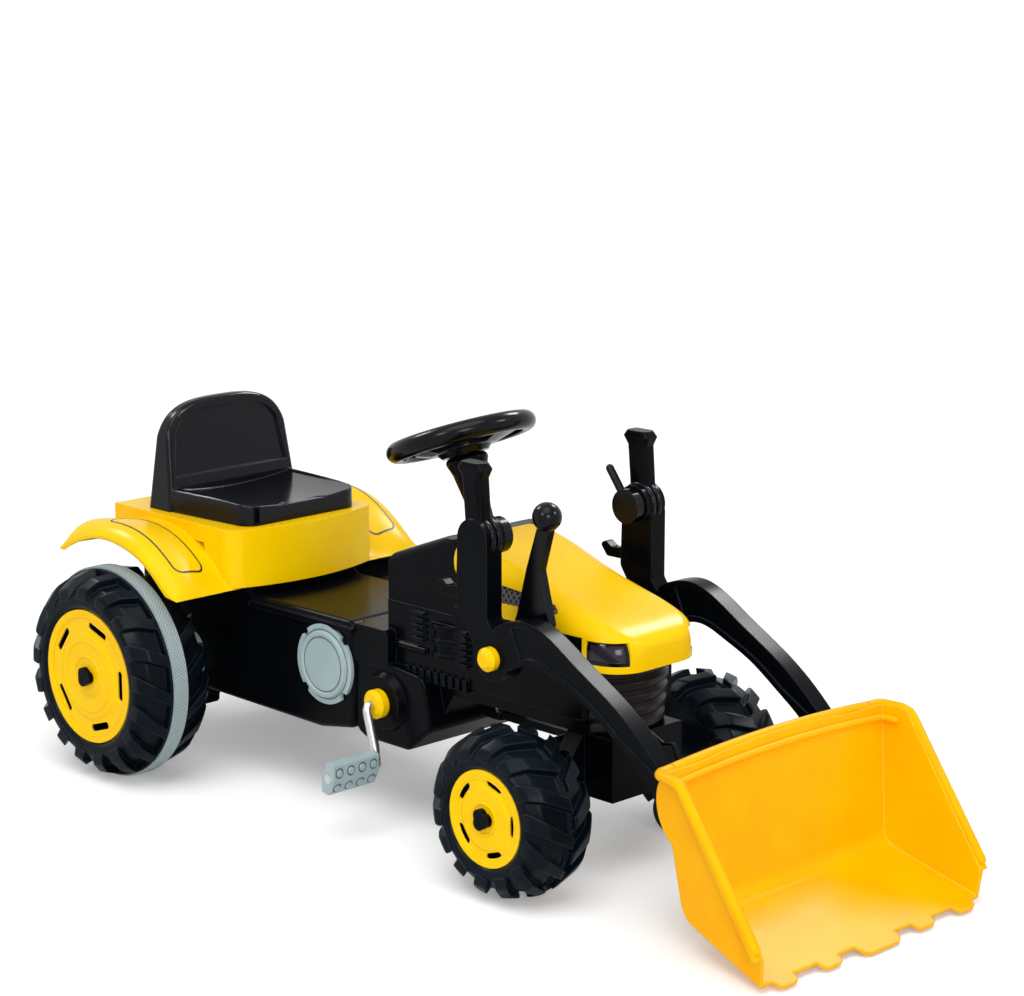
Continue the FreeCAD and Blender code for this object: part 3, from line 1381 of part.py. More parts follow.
def build_drive():
    """Crank shaft bent from one rod, hubs, bosses, pedals, sprockets and chain."""
    boss_end = crankcase_half_width + crank_boss_height
    bush = spin_y([(crank_rod_radius + running_clearance, crankcase_half_width + piece_gap / 4),
                   (crank_boss_radius, crankcase_half_width + piece_gap / 4),
                   (crank_boss_radius - crank_boss_height / 2, boss_end),
                   (crank_rod_radius + running_clearance, boss_end)], crank_x, crank_z)
    pieces["crank_bosses"] = pair(bush)

    hub_start = boss_end + piece_gap
    hub = spin_y([(crank_rod_radius + running_clearance, hub_start), (crank_hub_radius, hub_start),
                  (crank_hub_radius, hub_start + crank_hub_length * crank_hub_step_share),
                  (crank_hub_radius * crank_hub_step_share, hub_start + crank_hub_length),
                  (crank_rod_radius + running_clearance, hub_start + crank_hub_length)], crank_x, crank_z)
    pieces["crank_hubs"] = pair(hub)

    down = Vec(crank_arm_x, 0, -crank_arm_drop)
    middle = Vec(crank_x, 0, crank_z)
    end_y = pedal_inner_y + pedal_length + piece_gap
    right = Vec(0, -1, 0)
    left = Vec(0, 1, 0)
    path = [middle + down + right * end_y, middle + down + right * crank_arm_y, middle + right * crank_arm_y,
            middle + left * crank_arm_y, middle - down + left * crank_arm_y, middle - down + left * end_y]
    pieces["crank_shaft"] = bent_rod(path, crank_rod_radius, crank_bend)

    for side, name, centre in ((1, "left", middle - down), (-1, "right", middle + down)):
        pieces["pedal_" + name] = pedal(side, centre)

    pieces["crank_sprocket"] = sprocket(sprocket_crank_teeth, crank_rod_radius, crank_x, crank_z)
    pieces["rear_sprocket"] = sprocket(sprocket_rear_teeth, axle_radius, 0, axle_z)
    reach = tooth_height / 2 + piece_gap
    pieces["drive_chain"] = chain_band(reach + chain_height / 2).cut(chain_band(reach))


def pedal(side, centre):
    """Pedal block, thickest along its middle, with a row of round studs on each of its four sloping faces."""
    half = pedal_width / 2
    thick = pedal_thickness / 2
    thin = thick * pedal_edge_share
    outline = [(centre.x - half, centre.z - thin), (centre.x, centre.z - thick),
               (centre.x + half, centre.z - thin),
               (centre.x + half, centre.z + thin), (centre.x, centre.z + thick),
               (centre.x - half, centre.z + thin)]
    body = slab_xz(outline, side * pedal_inner_y, side * (pedal_inner_y + pedal_length), pedal_corner)
    reach = (thick + thin) / 2 + stud_height
    lean = math.degrees(math.atan2(thick - thin, half))
    studs = []
    for row in (-1, 1):
        for i in range(stud_row_count):
            y = side * (pedal_inner_y + pedal_length * (2 * i + 1) / (2 * stud_row_count))
            for face in (-1, 1):
                foot = Vec(centre.x + row * half / 2, y, centre.z)
                stud = rod(foot, foot + Vec(0, 0, face * reach), stud_radius)
                stud.rotate(foot + Vec(0, 0, face * (reach - stud_height)), Vec(0, 1, 0), row * face * lean)
                studs.append(stud)
    solid = join([body] + studs)
    bore = rod_y(centre.x, centre.z, crank_rod_radius + running_clearance,
                 side * (pedal_inner_y - overrun), side * (pedal_inner_y + pedal_length + overrun))
    solid = solid.cut(bore)
    solid.rotate(centre, Vec(0, 1, 0), pedal_lean)
    return solid


# Hitch

def build_hitch():
    """Tapered tail with three lugs, and the pin with its loop."""
    low = hitch_low_z
    top = low + hitch_lug_pitch * (hitch_lug_count - 1) + hitch_lug_height
    tail = slab_yz([(-hitch_top_half, body_tail_z), (-hitch_top_half, top - hitch_lug_height),
                    (-hitch_lug_radius, low + hitch_lug_height), (-hitch_lug_radius, low),
                    (hitch_lug_radius, low), (hitch_lug_radius, low + hitch_lug_height),
                    (hitch_top_half, top - hitch_lug_height), (hitch_top_half, body_tail_z)],
                   body_rear_x, body_rear_x + hitch_plate, hitch_lug_radius / 2)
    lugs = []
    for i in range(hitch_lug_count):
        z = low + i * hitch_lug_pitch
        lugs.append(rod_z(hitch_pin_x, 0, hitch_lug_radius, z, z + hitch_lug_height))
        lugs.append(block(hitch_pin_x, body_rear_x + hitch_plate / 2, -hitch_lug_radius, hitch_lug_radius,
                          z, z + hitch_lug_height))
    bore = rod_z(hitch_pin_x, 0, hitch_pin_radius + running_clearance, low - overrun, top + overrun)
    pieces["hitch_bracket"] = join([tail] + lugs).cut(bore)

    pin = rod_z(hitch_pin_x, 0, hitch_pin_radius, low + hitch_lug_height / 2 - pin_collar, top + pin_collar)
    collar = rod_z(hitch_pin_x, 0, pin_collar_radius, top + piece_gap, top + pin_collar)
    loop_z = top + pin_collar + loop_height / 2
    outer = slab_yz([(-loop_length / 2, loop_z - loop_height / 2),
                     (loop_length / 2, loop_z - loop_height / 2),
                     (loop_length / 2, loop_z + loop_height / 2),
                     (-loop_length / 2, loop_z + loop_height / 2)],
                    hitch_pin_x - loop_rod_radius, hitch_pin_x + loop_rod_radius, loop_height / 2)
    bar = loop_bar
    inner = slab_yz([(-loop_length / 2 + bar, loop_z - loop_height / 2 + bar),
                     (loop_length / 2 - bar, loop_z - loop_height / 2 + bar),
                     (loop_length / 2 - bar, loop_z + loop_height / 2 - bar),
                     (-loop_length / 2 + bar, loop_z + loop_height / 2 - bar)],
                    hitch_pin_x - overrun, hitch_pin_x + overrun, loop_height / 2 - bar)
    pieces["hitch_pin"] = join([pin, collar, outer]).cut(inner)


# Loader

def arm_point(x_share, z_share):
    """Place on an arm: shares of its reach forward and of its drop to the bucket hinge."""
    return (pivot_x + arm_reach * x_share, pivot_z + arm_drop * z_share)


def inset_points(points, border):
    """The points between the first and the last, moved into the beam, square to its outline."""
    moved = []
    for i in range(1, len(points) - 1):
        along = (points[i + 1] - points[i - 1]).normalize()
        moved.append(points[i] + Vec(along.z, 0, -along.x) * border)
    return moved


def boom_face(y, border=0.0):
    """Flat side of the boom, one curved beam from the pivot to the bucket, inside a border."""
    edges = []
    for shares in (boom_top_shares, boom_low_shares):
        points = [Vec(x, y, z) for x, z in (arm_point(*share) for share in shares)]
        if border > 0.0:
            points = inset_points(points, border)[1:]
        curve = Part.BSplineCurve()
        curve.interpolate(points)
        edges.append(curve.toShape())
    ends = [(edge.valueAt(edge.FirstParameter), edge.valueAt(edge.LastParameter)) for edge in edges]
    tip = Part.LineSegment(ends[0][1], ends[1][0]).toShape()
    root = Part.LineSegment(ends[1][1], ends[0][0]).toShape()
    return Part.Face(Part.Wire([edges[0], tip, edges[1], root]))


def boom_recesses():
    """Shallow panels in both sides of the boom, which leave a raised border."""
    panel = boom_face(arm_inner_y - overrun, arm_border).extrude(Vec(0, arm_recess + overrun, 0))
    return [panel, placed(panel, 0, arm_thickness - arm_recess + overrun, 0)]


def build_arms():
    """Loader arms: a curved boom, and an upright with its hub, hook and flared grip."""
    hub_x = pivot_x - upright_set_back
    hub_z = pivot_z + arm_rise
    inner = arm_inner_y
    outer = arm_inner_y + arm_thickness
    boom = boom_face(inner).extrude(Vec(0, arm_thickness, 0))
    hinge_x = pivot_x + arm_reach
    hinge_z = pivot_z - arm_drop
    ends = [rod_y(pivot_x, pivot_z, knuckle_radius, inner, outer),
            rod_y(hinge_x, hinge_z, hinge_knuckle_radius, inner, outer)]
    half = upright_hub_radius
    foot = knuckle_radius * upright_foot_share
    upright = slab_xz([(hub_x - half, hub_z), (hub_x + half, hub_z),
                       (hub_x + half, pivot_z + arm_rise * upright_neck_share), (pivot_x + foot, pivot_z),
                       (pivot_x - foot, pivot_z),
                       (hub_x - half * upright_waist_swell_share, pivot_z + arm_rise * upright_waist_share)],
                      inner, outer, knuckle_radius / 3)
    hub = rod_y(hub_x, hub_z, upright_hub_radius, inner - upright_hub_inner, outer)
    hook = slab_xz([arm_point(*share) for share in hook_shares], inner + arm_thickness / 4,
                   outer - arm_thickness / 4, stick_radius)
    grip = build_grip(hub_x, hub_z, (inner + outer) / 2)
    arm = boom
    for piece in ends + [upright, hub, hook]:
        arm = arm.fuse(piece)
    arm = arm.removeSplitter().cut(boom_recesses())
    arm = arm.fuse(grip).removeSplitter()
    blind = outer - blind_wall
    bores = [rod_y(pivot_x, pivot_z, loader_shaft_radius + running_clearance, inner - overrun,
                   outer + overrun),
             rod_y(hinge_x, hinge_z, cross_tube_radius + running_clearance, inner - overrun, blind),
             rod_y(hub_x, hub_z, stick_pin_radius + running_clearance, 0, blind)]
    arm = arm.cut(bores)
    pieces["loader_arm_left"] = arm
    pieces["loader_arm_right"] = other_side(arm)

    disc_end = inner - upright_hub_inner - piece_gap
    disc = rod_y(hub_x, hub_z, stick_disc_radius, disc_end - stick_disc_thickness, disc_end)
    pin = rod_y(hub_x, hub_z, stick_pin_radius, disc_end - stick_disc_thickness / 2, blind - piece_gap)
    stick_y = disc_end - stick_disc_thickness / 2
    root = Vec(hub_x, stick_y, hub_z)
    lean = math.radians(stick_lean)
    tip = root + Vec(-stick_length * math.sin(lean), 0, stick_length * math.cos(lean))
    stick = join([disc, pin, rod(root, tip, stick_radius), Part.makeSphere(stick_radius, tip)])
    pieces["stick_left"] = stick
    pieces["stick_right"] = other_side(stick)

    shaft_end = outer + knob_height / 2
    pieces["loader_shaft"] = rod_y(pivot_x, pivot_z, loader_shaft_radius, -shaft_end, shaft_end)
    knob_start = outer + piece_gap
    knob = spin_y([(loader_shaft_radius + running_clearance, knob_start), (knob_radius, knob_start),
                   (knob_radius, knob_start + knob_height * knob_step_share),
                   (knob_radius * knob_step_share, knob_start + knob_height),
                   (0.0, knob_start + knob_height),
                   (0.0, shaft_end), (loader_shaft_radius + running_clearance, shaft_end)], pivot_x, pivot_z)
    pieces["loader_knobs"] = pair(knob)
    pieces["cross_tube"] = rod_y(hinge_x, hinge_z, cross_tube_radius, piece_gap - blind, blind - piece_gap)
    build_spacers()


def build_grip(hub_x, hub_z, middle_y):
    """Tapered grip with a flared head, on top of the upright's hub."""
    half = grip_width / 2
    thick = grip_thickness / 2
    sections = []
    for rise, wide, deep in grip_level_shares:
        z = hub_z + grip_height * rise
        x = hub_x - grip_head_flare * rise
        sections.append(corner_wire([Vec(x - half * wide, middle_y - thick * deep, z),
                                     Vec(x + half * wide, middle_y - thick * deep, z),
                                     Vec(x + half * wide, middle_y + thick * deep, z),
                                     Vec(x - half * wide, middle_y + thick * deep, z)], thick / 2))
    return Part.makeLoft(sections, True, True)


def build_spacers():
    """Spacers on the loader shaft between the engine block and the arms, and round the ball lever."""
    start = engine_half_width + piece_gap / 4
    end = arm_inner_y - piece_gap
    bore = loader_shaft_radius + running_clearance
    lever_in = lever_y - lever_thickness / 2 - piece_gap
    lever_out = lever_y + lever_thickness / 2 + piece_gap

    def sleeve(y_from, y_to):
        return rod_y(pivot_x, pivot_z, spacer_radius, y_from, y_to).cut(
            rod_y(pivot_x, pivot_z, bore, y_from - overrun, y_to + overrun))

    pieces["pivot_spacers"] = Part.makeCompound([sleeve(start, end), other_side(sleeve(start, lever_in)),
                                                 other_side(sleeve(lever_out, end))])


def build_lever():
    """Ball lever on the loader shaft, and the link from it to the bucket's back."""
    inner = -lever_y - lever_thickness / 2
    outer = -lever_y + lever_thickness / 2
    neck = Vec(pivot_x + lever_lean * lever_neck_share, -lever_y, pivot_z + lever_rise * lever_neck_share)
    top = Vec(pivot_x + lever_lean, -lever_y, pivot_z + lever_rise)
    wide = lever_bar_half * lever_bar_foot_share
    sides = [(pivot_x + lever_lean * x, pivot_z + lever_rise * z) for x, z in lever_foot_shares]
    foot = slab_xz([(pivot_x - spacer_radius, pivot_z), (pivot_x + spacer_radius, pivot_z), sides[1],
                    (neck.x + wide, neck.z), (top.x + lever_bar_half, top.z - ball_radius / 2),
                    (top.x - lever_bar_half, top.z - ball_radius / 2), (neck.x - wide, neck.z), sides[0]],
                   inner, outer, lever_corner)
    eye = rod_y(pivot_x, pivot_z, spacer_radius + lever_corner / 2, inner, outer)
    peg = rod(neck, top, lever_peg_radius)
    pin_x = pivot_x + link_pin_x
    pin_z = pivot_z + link_pin_z
    link_far = inner - piece_gap - link_thickness
    pin = rod_y(pin_x, pin_z, link_pin_radius, link_far - piece_gap, inner + lever_thickness / 2)
    bore = rod_y(pivot_x, pivot_z, loader_shaft_radius + running_clearance, inner - overrun, outer + overrun)
    lever = join([foot, eye, peg, pin]).cut(bore)
    ball = Part.makeSphere(ball_radius, top)
    pieces["tilt_lever"] = lever
    pieces["lever_ball"] = ball.cut(lever)

    reach = Vec(arm_reach, 0, -arm_drop)
    start = Vec(pin_x, 0, pin_z)
    end = start + reach
    way = Vec(reach).normalize()
    across = Vec(-way.z, 0, way.x)
    bar_end = start + reach * link_bar_share
    half = link_bar_height / 2
    slim = half * link_bar_taper_share
    bar = corner_wire([start + across * half - way * half, bar_end + across * slim,
                       bar_end - across * slim, start - across * half - way * half], half)
    bar = Part.Face(bar).extrude(Vec(0, link_thickness, 0))
    bar.translate(Vec(0, link_far, 0))
    mid_y = Vec(0, link_far + link_thickness / 2, 0)
    zigzag = [start + reach * along + across * (link_zigzag * aside) + mid_y
              for along, aside in link_zigzag_shares]
    wire = bent_rod([bar_end - way * half + mid_y] + zigzag + [end + mid_y], link_wire_radius,
                    link_wire_bend)
    eye = rod_y(end.x, end.z, link_pin_radius * 2, link_far, link_far + link_thickness)
    link = join([bar, wire, eye])
    holes = [rod_y(start.x, start.z, link_pin_radius + running_clearance, link_far - overrun,
                   inner + overrun),
             rod_y(end.x, end.z, link_pin_radius + piece_gap * 2, link_far - overrun, inner + overrun)]
    pieces["tilt_link"] = link.cut(holes)
    return link_far


# Bucket

def bucket_mouth(hinge):
    """Upper end of the mouth plane, the way down it, and the way into the bucket from it."""
    top = Vec(bucket_mouth_top_x, 0, bucket_mouth_top_z)
    down = Vec(bucket_mouth_low_x, 0, bucket_mouth_low_z) - top
    way = Vec(down).normalize()
    return hinge + top, down, Vec(way.z, 0, -way.x)


def bucket_wedge(inset, hinge):
    """Space between flat sides that draw in away from the mouth."""
    top, down, inward = bucket_mouth(hinge)
    deep = bucket_mouth_half
    near = bucket_mouth_half + bucket_side_slope_share * deep - inset
    far = bucket_mouth_half - bucket_side_slope_share * deep - inset
    start = top - down
    corners = [start - inward * deep - Vec(0, near, 0), start - inward * deep + Vec(0, near, 0),
               start + inward * deep + Vec(0, far, 0), start + inward * deep - Vec(0, far, 0)]
    return Part.Face(corner_wire(corners)).extrude(down * 3)


def bucket_block(outline, heel_radius, inset, hinge):
    """Solid with a rounded heel between the drawn-in sides."""
    points = [(hinge.x + x, hinge.z + z) for x, z in outline]
    heel = 1
    sharp = [i for i in range(len(points)) if i != heel]
    wide = bucket_mouth_half * 2
    prism = slab_xz(points, -wide, wide, heel_radius, sharp)
    return prism.common(bucket_wedge(inset, hinge))


def bucket_ears(hinge):
    """Rounded ears of the two sides, which reach back past the arms' ends."""
    rear = [Vec(hinge.x + bucket_heel_x * x, -bucket_mouth_half * 2, hinge.z + bucket_top_z * z)
            for x, z in bucket_ear_shares]
    inside = [Vec(hinge.x + bucket_mouth_top_x, rear[0].y, rear[2].z),
              Vec(hinge.x + bucket_mouth_top_x, rear[0].y, rear[0].z)]
    wire = Part.Wire([Part.Arc(*rear).toShape(), Part.LineSegment(rear[2], inside[0]).toShape(),
                      Part.LineSegment(inside[0], inside[1]).toShape(),
                      Part.LineSegment(inside[1], rear[0]).toShape()])
    slab = Part.Face(wire).extrude(Vec(0, bucket_mouth_half * 4, 0))
    ears = slab.common(bucket_wedge(0.0, hinge)).cut(bucket_wedge(bucket_wall, hinge))
    return ears.Solids


def bucket_top_rim(hinge):
    """Flat rim round the top, with rounded rear corners, and the crowned edge along the back."""
    top = hinge + Vec(bucket_top_x, 0, bucket_top_z)
    front_x = hinge.x + bucket_mouth_top_x
    wide = bucket_mouth_half + bucket_rim
    rear_x = top.x - bucket_rim
    rim = slab_xy([(rear_x, -bucket_mouth_half), (front_x, -wide), (front_x, wide),
                   (rear_x, bucket_mouth_half)],
                  top.z - bucket_rim_thickness, top.z, bucket_rim_corner)
    rest = hinge.x + bucket_mouth_top_x - bucket_rim_thickness
    rim = rim.cut(block(rest, front_x + overrun, -wide - overrun, wide + overrun, top.z - overrun,
                        top.z + overrun))
    half = bucket_mouth_half - bucket_rim_corner
    low = top.z - bucket_rim_thickness
    left = Vec(top.x - bucket_rim / 2, half, low)
    right = Vec(top.x - bucket_rim / 2, -half, low)
    crest = Vec(top.x - bucket_rim / 2, 0, top.z + bucket_crown_rise)
    arch = Part.Wire([Part.Arc(left, crest, right).toShape(), Part.LineSegment(right, left).toShape()])
    return [rim, Part.Face(arch).extrude(Vec(bucket_rim / 2 + bucket_wall, 0, 0))]


def build_bucket(link_far):
    """Bucket with drawn-in sides, rolled rim, crowned back edge, scalloped teeth and hinge lugs."""
    hinge = Vec(pivot_x + arm_reach, 0, pivot_z - arm_drop)
    wall = bucket_wall
    outline = [(bucket_top_x, bucket_top_z), (bucket_heel_x, bucket_heel_z), (bucket_lip_x, bucket_lip_z),
               (bucket_mouth_low_x, bucket_mouth_low_z), (bucket_mouth_top_x, bucket_mouth_top_z)]
    floor_way = Vec(bucket_lip_x - bucket_heel_x, 0, bucket_lip_z - bucket_heel_z).normalize()
    floor_up = Vec(-floor_way.z, 0, floor_way.x)
    back_way = Vec(bucket_top_x - bucket_heel_x, 0, bucket_top_z - bucket_heel_z).normalize()
    heel_in = Vec(bucket_heel_x, 0, bucket_heel_z) + (floor_way + back_way) * wall
    top_in = Vec(bucket_top_x, 0, bucket_top_z) + Vec(wall, 0, 0) + back_way * overrun
    lip_in = Vec(bucket_lip_x, 0, bucket_lip_z) + floor_up * wall + floor_way * overrun
    beyond = Vec(overrun, 0, overrun)
    inside = [(top_in.x, top_in.z), (heel_in.x, heel_in.z), (lip_in.x, lip_in.z),
              (bucket_mouth_low_x + beyond.x * 2, bucket_mouth_low_z + beyond.z),
              (bucket_mouth_top_x + beyond.x, bucket_mouth_top_z + beyond.z * 2)]
    outer = bucket_block(outline, bucket_heel_radius, 0.0, hinge)
    inner = bucket_block(inside, bucket_heel_radius - wall, wall, hinge)
    tub = outer.cut(inner)

    rim = []
    start, down, inward = bucket_mouth(hinge)
    for side in (1, -1):
        y = side * bucket_mouth_half
        bar = corner_wire([Vec(start.x, y - side * wall, start.z),
                           Vec(start.x, y + side * bucket_rim, start.z),
                           Vec(start.x, y + side * bucket_rim, start.z) + inward * bucket_rim_thickness,
                           Vec(start.x, y - side * wall / 2, start.z) + inward * bucket_rim_thickness])
        rim.append(Part.Face(bar).extrude(down))
    teeth = bucket_teeth(hinge, floor_way, floor_up)
    lugs = []
    for y in (-bucket_lug_y, bucket_lug_y):
        y_from = y - bucket_lug_thickness / 2
        root = bucket_lug_radius + bucket_lug_flare
        ear = slab_xz([(hinge.x, hinge.z + bucket_lug_radius), (hinge.x + bucket_heel_x, hinge.z + root),
                       (hinge.x + bucket_heel_x, hinge.z - root), (hinge.x, hinge.z - bucket_lug_radius)],
                      y_from, y_from + bucket_lug_thickness)
        lugs.append(ear)
        lugs.append(rod_y(hinge.x, hinge.z, bucket_lug_radius, y_from, y_from + bucket_lug_thickness))
    lugs.append(link_bracket(hinge, link_far))
    shape = join([tub] + rim + bucket_top_rim(hinge) + bucket_ears(hinge) + teeth + lugs).cut(inner)
    bore = rod_y(hinge.x, hinge.z, cross_tube_radius + running_clearance, -bucket_mouth_half,
                 bucket_mouth_half)
    pin = rod_y(hinge.x + link_pin_x, hinge.z + link_pin_z, link_pin_radius,
                link_far - piece_gap - link_thickness, link_far + link_thickness + piece_gap)
    pieces["bucket"] = join([shape.cut(bore), pin])


def link_bracket(hinge, link_far):
    """Small plate on the bucket's back that carries the link's pin."""
    y_to = link_far - piece_gap
    pin_x = hinge.x + link_pin_x
    pin_z = hinge.z + link_pin_z
    reach = link_pin_radius * 2
    plate = slab_xz([(pin_x - reach, pin_z - reach), (hinge.x + bucket_heel_x, pin_z - reach * 2),
                     (hinge.x + bucket_heel_x, pin_z + reach), (pin_x - reach, pin_z + reach)],
                    y_to - link_thickness, y_to, reach / 2)
    return plate


def bucket_teeth(hinge, floor_way, floor_up):
    """Scalloped teeth along the lip: small ones at the sides and a wide one in the middle."""
    teeth = []
    lip = hinge + Vec(bucket_lip_x, 0, bucket_lip_z)
    for share in tooth_place_shares:
        wide = tooth_wide_width if share == 0.0 else tooth_small_width
        length = tooth_wide_length if share == 0.0 else tooth_small_length
        y = share * bucket_mouth_half
        root = lip - floor_way * length
        tip = lip + floor_way * length
        corners = [root + Vec(0, y - wide / 2, 0), root + Vec(0, y + wide / 2, 0),
                   tip + Vec(0, y + wide / 2 - length / 2, 0), tip + Vec(0, y - wide / 2 + length / 2, 0)]
        tooth = Part.Face(corner_wire(corners, length * tooth_round_share)).extrude(floor_up * bucket_wall)
        teeth.append(tooth)
    return teeth


build_rear_wheels()
build_front_wheels()
build_front_axle()
build_tie_rod()
build_steering()
build_body()
build_engine()
build_dash()
build_bonnet()
build_grille()
build_guard()
build_seat()
build_covers()
build_cones()
build_drive()
build_hitch()
build_arms()
build_bucket(build_lever())

os.makedirs("parts", exist_ok=True)
for name, shape in pieces.items():
    written = shape.copy()
    written.translate(Vec(-origin_x, 0, 0))
    written.exportStep("parts/" + name + ".step")
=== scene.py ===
import math

import bpy
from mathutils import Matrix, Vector
from mathutils.bvhtree import BVHTree


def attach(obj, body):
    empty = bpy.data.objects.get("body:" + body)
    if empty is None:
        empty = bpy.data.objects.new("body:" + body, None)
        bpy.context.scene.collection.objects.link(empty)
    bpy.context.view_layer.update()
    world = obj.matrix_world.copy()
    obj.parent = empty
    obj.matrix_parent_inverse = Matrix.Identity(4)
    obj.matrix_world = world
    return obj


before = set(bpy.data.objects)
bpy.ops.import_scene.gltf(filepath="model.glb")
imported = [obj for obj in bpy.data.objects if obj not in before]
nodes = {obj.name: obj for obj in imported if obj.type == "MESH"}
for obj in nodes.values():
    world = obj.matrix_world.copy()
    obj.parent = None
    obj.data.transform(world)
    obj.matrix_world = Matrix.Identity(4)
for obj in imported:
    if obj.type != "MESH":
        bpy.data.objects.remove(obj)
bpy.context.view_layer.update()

MM = 0.001
SIDES = ((1, "left"), (-1, "right"))

# Camera, fitted to the photograph's main view at 1024 by 996
CAMERA_PLACE = (2.2953, -2.2022, 1.0859)
CAMERA_AIM = (-0.0745, 0.1299, 0.3712)
CAMERA_LENS = 95.04
SENSOR_WIDTH = 36.0
CAMERA_FAR = 300.0

# Studio: a broad overhead light, softboxes that only draw the highlights, a fill by the camera and a
# white room. Softboxes and fill have a name, a place, a size in metres and a power in watts.
FLOOR_SIZE = 200.0
FLOOR_LIFT = 0.24
OVERHEAD_AIM = (-0.25, 0.35, -1.0)
OVERHEAD_SPREAD = 50.0
OVERHEAD_POWER = 1.6
SOFTBOXES = (
    ("front_softbox", (3.0, 1.6, 2.3), 0.6, 40.0),
    ("side_softbox", (0.4, -3.0, 2.2), 0.6, 24.0),
    ("rear_softbox", (-2.4, -0.6, 2.6), 0.7, 40.0),
    ("far_softbox", (-0.2, 2.6, 2.8), 0.8, 70.0),
)
FILL = ("camera_fill", (3.4, -2.4, 1.6), 1.2, 52.0)
LAMP_AIM = (0.0, 0.0, 0.2)
ROOM_LIGHT = 0.5

# Everything below is in millimetres from the middle of the floor under the tractor

# Texture in the plastics: clouds of colour, patches of painted highlight on edges and the slow waves of a wall
CLOUD_SIZE = 70.0
EDGE_HIGHLIGHT_PATCH = 12.0
WAVE_SIZE = 45.0
EDGE_SAMPLES = 6
EDGE_FULL_TURN = 0.86   # cosine of the turn of the normal at which an edge gets the full painted highlight

# Texture in the other materials
DRAWN_MARK = 1.2
SPECKLE_SIZE = 2.5
BAND_MIDDLE = (-458.0, 0.0, 137.0)
BAND_RIDGES = 172
BAND_PITCH = 5.0
KNURL_DEPTH = 0.9
MESH_LEAN = 38.0
MESH_PITCH = 6.0
MESH_DEPTH = 1.5

# Headlight panels: the edges of the window, the rim round it, and the step between the two
LAMP_LOW = 261.0
LAMP_HIGH = 288.0
LAMP_REAR = 254.0
LAMP_INNER = 50.0
LAMP_RIM = 4.0
LAMP_STEP_WIDTH = 0.8
LAMP_STEP_DEPTH = 0.6

# Instrument plate: the dash top's rear edge, its slope, and the layers of print above it
PLATE_FOOT = Vector((-81.0, 0.0, 332.0))
PLATE_WAY = Vector((95.0, 0.0, 36.0)).normalized()
PLATE_UP = Vector((-36.0, 0.0, 95.0)).normalized()
PLATE_FACE = 0.5
FACE_LAYER = 0.15
MARK_LAYER = 0.25
NEEDLE_LAYER = 0.35
PIN_LAYER = 0.45

# Gauges, each with its side and where its needle points, in degrees from the driver's right
GAUGES = ((-1, 128.0), (1, 62.0))
GAUGE_ALONG = 33.0
GAUGE_ACROSS = 28.0
GAUGE_RADIUS = 18.0
GAUGE_OVERRUN = 12.0
SCALE_OUTER = GAUGE_RADIUS - 0.9
SCALE_INNER = GAUGE_RADIUS - 1.6
TICKS = 11
TICK_HALF = 1.2
TICK_INNER = (GAUGE_RADIUS - 4.2, GAUGE_RADIUS - 2.8)
NUMBERS = 6
NUMBER_STEP = 2
NUMBER_RADIUS = 10.8
NUMBER_SIZE = 3.8
NEEDLE_REACH = (1.5, 12.5)
NEEDLE_HALF = 3.0
PIN_RADIUS = 1.9
HALF_TURN = 180.0
FULL_TURN = 360.0

# Signal windows: half width and half height of the window and of the line inside it, and three dots
SIGNAL_ALONG = 66.0
SIGNAL_ACROSS = 38.0
SIGNAL_WINDOW = (8.6, 4.6)
SIGNAL_LINE = ((7.4, 3.4), (7.8, 3.8))
DOT_STEP = 4.2
DOT_RADIUS = 1.1

# Outlined panel on each wing, seen from above
PANEL_REAR = -498.0
PANEL_FRONT = -352.0
PANEL_INNER = 141.0
PANEL_OUTER = 187.0
PANEL_CORNER = 12.0
PANEL_LINE = 2.4
PANEL_STEP = 5.0
PANEL_LIFT = 0.25

# How far out a search for a surface starts
SEAT_LEAD = 30.0
ABOVE_ALL = 600.0
BESIDE_ALL = 300.0
BEHIND_DASH = -300.0

# Rear lens on each wing, and the rim printed round it
LENS_MIDDLE = (-567.5, 162.0, 299.5)
LENS_LEAN = math.radians(47.0)
LENS_HALF_WIDTH = 25.0
LENS_HALF_HEIGHT = 13.0
LENS_RIM = (0.3, 2.4)
LENS_RIM_LIFT = 0.3

# Key knob on the dash: turned outlines of radius and height, and the bar across the grip
KNOB_ACROSS = -31.0
KNOB_UP = 302.0
KNOB_COLLAR = ((0, -1), (15, -1), (15, 2), (13.5, 3.2), (11.5, 3.2), (11, 2.2), (0, 2.2))
KNOB_GRIP = ((0, 1), (9.6, 1), (9.6, 7), (8.6, 8.6), (7.2, 9), (0, 9))
KNOB_BAR_HALF_LENGTH = 8.0
KNOB_BAR_HALF_WIDTH = 2.2
KNOB_BAR_CORNER = 2.1
KNOB_BAR_FOOT = 8.0
KNOB_BAR_HEAD = 14.0
KNOB_BAR_TAPER = (0.9, 0.8)
KNOB_EDGE = 0.6

# Bucket: the hinge it is measured from, then the left corners of the mouth's bead, from the lip to the
# rear edge, and of the step inside the rear edge
BUCKET_HINGE = (447.0, 149.0)
MOUTH_CORNERS = ((163.0, 195.0, -98.0), (57.0, 195.0, 55.0), (20.0, 188.0, 56.0), (19.0, 172.0, 56.0))
MOUTH_RISE = 7.0
MOUTH_ROUND = 12.0
MOUTH_STEPS = 12
BEAD_RADIUS = 6.0
LIP_CORNERS = ((48.0, 181.0, 43.0), (32.0, 180.0, 44.0), (30.0, 170.0, 44.0))
LIP_RADIUS = 4.0
BEAD_NOSE = (84.0, 60.0, 30.0)
BEAD_ASIDE = Vector((0.83, 0.0, 0.56))   # a direction that no bead follows

